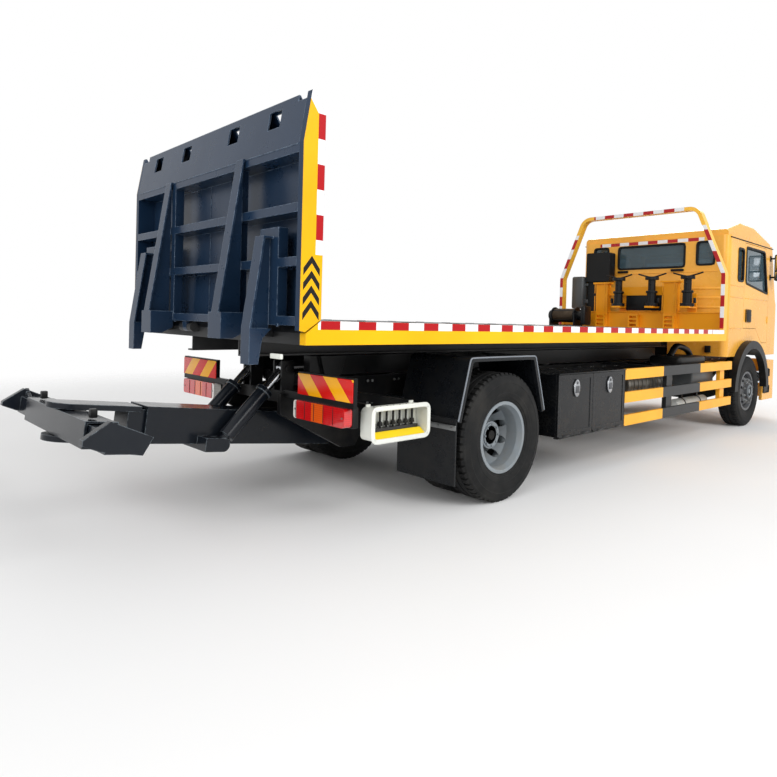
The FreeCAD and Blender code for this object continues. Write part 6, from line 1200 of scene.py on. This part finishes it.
def makeRightSide():
    place = toolTrim["hingeAt"]
    hinges = rods([((x, *place), (x + toolTrim["hingeLong"], *place)) for x in toolTrim["hinges"]],
                  toolTrim["hingeRadius"], 14, 0.002)
    dress("toolboxTrims", hinges + blocks(toolTrim["ledges"], 0.003) + blocks(toolTrim["straps"]),
          "boxBlack", "chassis")
    y, z = muffler["y"], muffler["z"]
    bands = rowOf(lathe(muffler["band"], (muffler["bandX"], y, z), (1, 0, 0), 48), muffler["bands"],
                  (muffler["bandStep"], 0, 0))
    caps = [lathe(muffler["cap"], (x, y, z), (way, 0, 0), 40) for x, way in muffler["ends"]]
    dress("silencerRibs", [bands] + caps, "silencer", "chassis")
    cover = blocks([rightSide["cover"]], 0.05, 5)
    duct = pipe([(x, rightSide["ductY"], z) for x, z in rightSide["duct"]], 0.038, 16)
    dress("sideCover", cover + [duct] + blocks(rightSide["legs"], 0.004), "plasticBlack", "chassis")
    dress("greyCases", blocks([rightSide["case"]], 0.022, 3) + blocks([rightSide["lid"]], 0.012, 3),
          "tankGrey", "chassis")
    arms = blocks(rightSide["arms"], 0.004)
    place, wide = rightSide["bottleAt"], rightSide["strapWide"]
    bottle = rod(*[(x, *place) for x in rightSide["bottle"]], rightSide["bottleRadius"], 32, 0.02)
    dress("paleBottle", [bottle], "bottleWhite", "chassis")
    straps = rods([((x, *place), (x + wide, *place)) for x in rightSide["straps"]],
                  rightSide["strapRadius"], 32)
    dress("sideHolders", arms + straps + blocks(rightSide["drops"]), "frameBlack", "chassis")


def makeBothSides():
    # A pale pipe along each fender's edge: painted reflection on the glossy black rim
    lip = pipe([(x, fender["lipY"], z) for x, z in fender["lip"]], 0.0065)
    dress("fenderRimHighlights", [lip], "fenderRimHighlight", "chassis", pair=True)
    flap = bolts([(fender["boltX"], y, fender["boltZ"]) for y in fender["bolts"]], (-1, 0, 0))
    dress("flapHolders", flap + blocks([fender["bar"]], 0.002), "zinc", "chassis", pair=True)


def makeLeftSide():
    tanks, wide = [], leftSide["bandWide"]
    for x, y, z in leftSide["tanks"]:
        tanks.append(lathe(leftSide["tank"], (x, y, z), (1, 0, 0), 36))
        tanks += rods([((x + start, y, z), (x + start + wide, y, z)) for start in leftSide["bands"]],
                      leftSide["bandRadius"], 36)
    tanks += blocks([(x, x + leftSide["armWide"], *leftSide["arm"]) for x in leftSide["arms"]], 0.004)
    dress("airTanks", tanks, "axleBlack", "chassis")
    dress("batteryBox", blocks(leftSide["battery"], 0.014, 3), "plasticBlack", "chassis")
    dress("backContainers", blocks([leftSide["container"]], 0.03, 4) + blocks(leftSide["clips"], 0.004),
          "tankGrey", "chassis")
    # A thin black sheet between the headboard posts stands in for the dark opening there: painted shade
    dress("darkOpeningSheet", blocks([leftSide["panel"]], 0.002), "plasticBlack", "deck")


springs = {"y": 0.4, "half": 0.085, "leg": 0.052, "shoulder": 0.045, "padLong": 0.12, "padWide": 0.065,
           "ends": {"rear": (0.0, 0.425, 0.7), "front": (6.215, 0.31, 0.505)}}
runningGear = (  # dampers, brake can with its band, brake shaft: ends, radius, sides, bevel
    ((0.3, 0.56, 0.44), (0.42, 0.5, 0.94), 0.036, 24, 0.006),
    ((6.48, 0.5, 0.4), (6.6, 0.475, 0.9), 0.034, 24, 0.006),
    ((-0.14, 0.58, 0.6), (-0.33, 0.58, 0.62), 0.088, 32, 0.012),
    ((-0.225, 0.58, 0.607), (-0.245, 0.58, 0.609), 0.095, 32, 0.003),
    ((-0.12, 0.58, 0.56), (-0.12, 0.7, 0.545), 0.018, 14))
rails = {"boltX": -1.06, "boltY": (0.428, 0.441), "boltRows": (0.945, 0.765), "bolts": 28, "pitch": 0.3,
         "pairStep": 0.05,
         "lines": ((0.402, 0.955, 0.016), (0.405, 0.925, 0.008), (0.405, 0.905, 0.008),
                   (-0.402, 0.955, 0.014), (-0.405, 0.92, 0.009)),
         "sag": ((-0.95, 0.0), (0.6, 0.012), (2.2, 0.0), (4.0, 0.01), (5.4, 0.0), (6.6, -0.01)),
         "flange": ((0.0, 0.0), (0.088, 0.0), (0.088, 0.018), (0.06, 0.024), (0.06, 0.04), (0.0, 0.04)),
         "flanges": ((0.3, 0.572), (2.45, 0.672), (4.55, 0.77))}


def makeUnderside():
    y, long, wide, clamps = springs["y"], springs["padLong"], springs["padWide"], []
    for x, low, top in springs["ends"].values():
        for sign in (-1, 1):
            for side in (-1, 1):
                leg, shoulder = y - side * springs["leg"], y - side * springs["shoulder"]
                place = x + sign * springs["half"]
                clamps.append(pipe([(place, leg, low), (place, leg, top - 0.02), (place, shoulder, top),
                                    (place, y, top + 0.004)], 0.01))
        clamps += blocks([(x - long, x + long, y - wide, y + wide, low - 0.004, low + 0.016),
                          (x - long, x + long, y - wide, y + wide, top - 0.006, top + 0.012)], 0.005)
    clamps += [rod(*row) for row in runningGear]
    dress("springClamps", clamps, "axleBlack", "chassis", pair=True)
    start, end = rails["boltY"]
    column = rods([((rails["boltX"], start, z), (rails["boltX"], end, z)) for z in rails["boltRows"]],
                  0.012, 6, 0.0015)
    row = rowOf(joined(column), rails["bolts"], (rails["pitch"], 0, 0))
    dress("frameBolts", [row, copied(row, (rails["pairStep"], 0, 0))], "zinc", "chassis", pair=True)
    lines = [pipe([(x, y, z + sag) for x, sag in rails["sag"]], radius)
             for y, z, radius in rails["lines"]]
    dress("frameLines", lines, "rubberBlack", "chassis")
    flanges = [lathe(rails["flange"], (x, 0, z), (1, 0, 0.06)) for x, z in rails["flanges"]]
    dress("shaftFlanges", flanges, "axleBlack", "chassis")


deck = {"slots": 12, "slotPitch": 0.48, "slot": (-1.45, 1.1, 1.4305), "seams": (-0.62, 0.62),
        "seam": (-1.84, 4.3, 0.004, 1.43, 1.4325), "rampSeam": (-1.8825, -1.8785, 0.003, 1.47, 2.42),
        "hinge": ((-1.86, -1.12, 1.395), (-1.86, -1.09, 1.395)), "hingeStep": 2.21,
        "rampSeams": (-0.15, 0.15), "crease": (-2.0255, -2.0225, -1.19, 1.19, 2.47, 2.478),
        "rampBolts": (-1.02, -0.78, -0.68, -0.42, 0.42, 0.68, 0.78, 1.02), "boltX": -2.022, "boltZ": 1.4}


def makeDeckParts():
    x, y, z = deck["slot"]
    slots = [rowOf(ovalPlate((x, sign * y, z), (0.03, 0, 0), (0, 0.07, 0), (0, 0, 0.003), 20),
                   deck["slots"], (deck["slotPitch"], 0, 0)) for sign in (-1, 1)]
    dress("deckSlots", slots, "rubberBlack", "deck")
    dress("deckSeams", strips(deck["seams"], *deck["seam"]), "steel", "deck")
    hinge = rowOf(rod(*deck["hinge"], 0.014, 6, 0.002), 2, (0, deck["hingeStep"], 0))
    dress("rampHingeBolt", [hinge], "zinc", "deck")
    lines = strips(deck["rampSeams"], *deck["rampSeam"]) + blocks([deck["crease"]])
    lines += bolts([(deck["boltX"], y, deck["boltZ"]) for y in deck["rampBolts"]], (-1, 0, 0),
                   0.012, 0.01)
    dress("rampLines", lines, "rampSkyLitBlue", "ramp")


lift = {"hoses": (-0.11, -0.08, 0.09), "hoseRadius": 0.009,
        "run": ((-1.05, 0.7), (-1.3, 0.695), (-1.7, 0.72), (-2.1, 0.755), (-2.4, 0.79)),
        "nut": 0.05, "nutHigh": 0.03, "locks": (-0.5, 0.5), "lockHalf": 0.02, "lockHigh": 0.05}


def makeLiftParts():
    hoses = [pipe([(x, y, z) for x, z in lift["run"]], lift["hoseRadius"]) for y in lift["hoses"]]
    dress("boomHoses", hoses, "rubberBlack", "boom")
    low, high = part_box("crossbar")
    x, top, half = (low.x + high.x) / 2 - axleX, high.z, lift["lockHalf"]
    nut = rod((x, 0, top - 0.004), (x, 0, top - 0.004 + lift["nutHigh"]), lift["nut"], 6, 0.004)
    pins = strips(lift["locks"], x - half, x + half, half, top - 0.002, top + lift["lockHigh"], 0.005)
    dress("crossbarParts", [nut] + pins, "standBlack", "crossbar")


makeRightSide()
makeBothSides()
makeLeftSide()
makeUnderside()
makeDeckParts()
makeLiftParts()
print("frame parts done")

# Camera, light and floor
cameraView = {"place": (-4.1457, -4.2705, 1.4523), "yaw": 0.8168, "pitch": -0.0163, "roll": 0.0273,
              "focal": 624.82, "centre": (388.52, 329.51), "image": 777, "sensor": 36}


def makeCamera():
    yaw, pitch, roll = cameraView["yaw"], cameraView["pitch"], cameraView["roll"]
    ahead = Vector((math.cos(yaw) * math.cos(pitch), math.sin(yaw) * math.cos(pitch), math.sin(pitch)))
    right = Vector((math.sin(yaw), -math.cos(yaw), 0))
    up = right.cross(ahead)
    right, up = (right * math.cos(roll) + up * math.sin(roll),
                 up * math.cos(roll) - right * math.sin(roll))
    data = bpy.data.cameras.new("camera")
    data.sensor_width = cameraView["sensor"]
    data.lens = cameraView["focal"] / cameraView["image"] * cameraView["sensor"]
    data.shift_x = 0.5 - cameraView["centre"][0] / cameraView["image"]
    data.shift_y = cameraView["centre"][1] / cameraView["image"] - 0.5
    data.clip_end = 300
    camera = bpy.data.objects.new("camera", data)
    bpy.context.scene.collection.objects.link(camera)
    turn = Matrix((right, up, -ahead)).transposed().to_4x4()
    camera.matrix_world = Matrix.Translation(at(*cameraView["place"])) @ turn
    bpy.context.scene.camera = camera


lights = {
    "key": {"place": (1.0, -14.0, 9.0), "aim": (1.5, 0, 1.0), "size": 9.0, "power": 1500},
    "tail": {"place": (-13.0, -5.0, 6.5), "aim": (0, 0, 1.2), "size": 8.0, "power": 700},
    "front": {"place": (17.0, 4.0, 8.0), "aim": (4, 0, 1.5), "size": 8.0, "power": 700},
}
sky = {"show": 1.0, "light": 0.62}


def makeLights():
    for name, lamp in lights.items():
        data = bpy.data.lights.new(name, "AREA")
        data.shape = "SQUARE"
        data.size = lamp["size"]
        data.energy = lamp["power"]
        light = bpy.data.objects.new(name, data)
        bpy.context.scene.collection.objects.link(light)
        light.location = at(*lamp["place"])
        way = at(*lamp["aim"]) - light.location
        light.rotation_euler = way.to_track_quat("-Z", "Y").to_euler()


def makeSky():  # bright where it is seen, softer as light
    world = bpy.data.worlds.new("studio")
    bpy.context.scene.world = world
    world.use_nodes = True
    tree = world.node_tree
    rays = tree.nodes.new("ShaderNodeLightPath")
    shown = rays.outputs["Is Camera Ray"]
    for ray in ("Is Transmission Ray", "Is Glossy Ray"):
        either = tree.nodes.new("ShaderNodeMath")
        either.operation = "MAXIMUM"
        tree.links.new(shown, either.inputs[0])
        tree.links.new(rays.outputs[ray], either.inputs[1])
        shown = either.outputs[0]
    level = tree.nodes.new("ShaderNodeMapRange")
    tree.links.new(shown, level.inputs["Value"])
    level.inputs["To Min"].default_value = sky["light"]
    level.inputs["To Max"].default_value = sky["show"]
    tree.links.new(level.outputs[0], tree.nodes["Background"].inputs["Strength"])
    tree.nodes["Background"].inputs["Color"].default_value = (1, 1, 1, 1)


floorLook = {"radius": 120, "dark": (236, 236, 236), "pale": (242, 242, 242), "fade": (6.0, 12.0)}


def makeFloor():
    clearPick()
    bpy.ops.mesh.primitive_circle_add(vertices=64, radius=floorLook["radius"], fill_type="NGON",
                                      location=(0, 0, 0))
    floor = settle()
    floor.name = "studioFloor"
    made = Finish("studioFloor")
    colour = made.mix(made.noise(0.4, 3.0), tint(*floorLook["dark"]), tint(*floorLook["pale"]))
    away = made.node("ShaderNodeVectorMath", {"operation": "LENGTH"}, {0: made.object}, "Value")
    below = made.node("ShaderNodeNewGeometry", {}, {}, "Backfacing")
    made.plug(made.shader.inputs["Alpha"], (1 - away.rise(*floorLook["fade"])) * (1 - below))
    floor.data.materials.append(made.done(colour, 0.9))


makeCamera()
makeLights()
makeSky()
makeFloor()
bpy.context.scene.view_settings.view_transform = "Standard"
print("scene done")
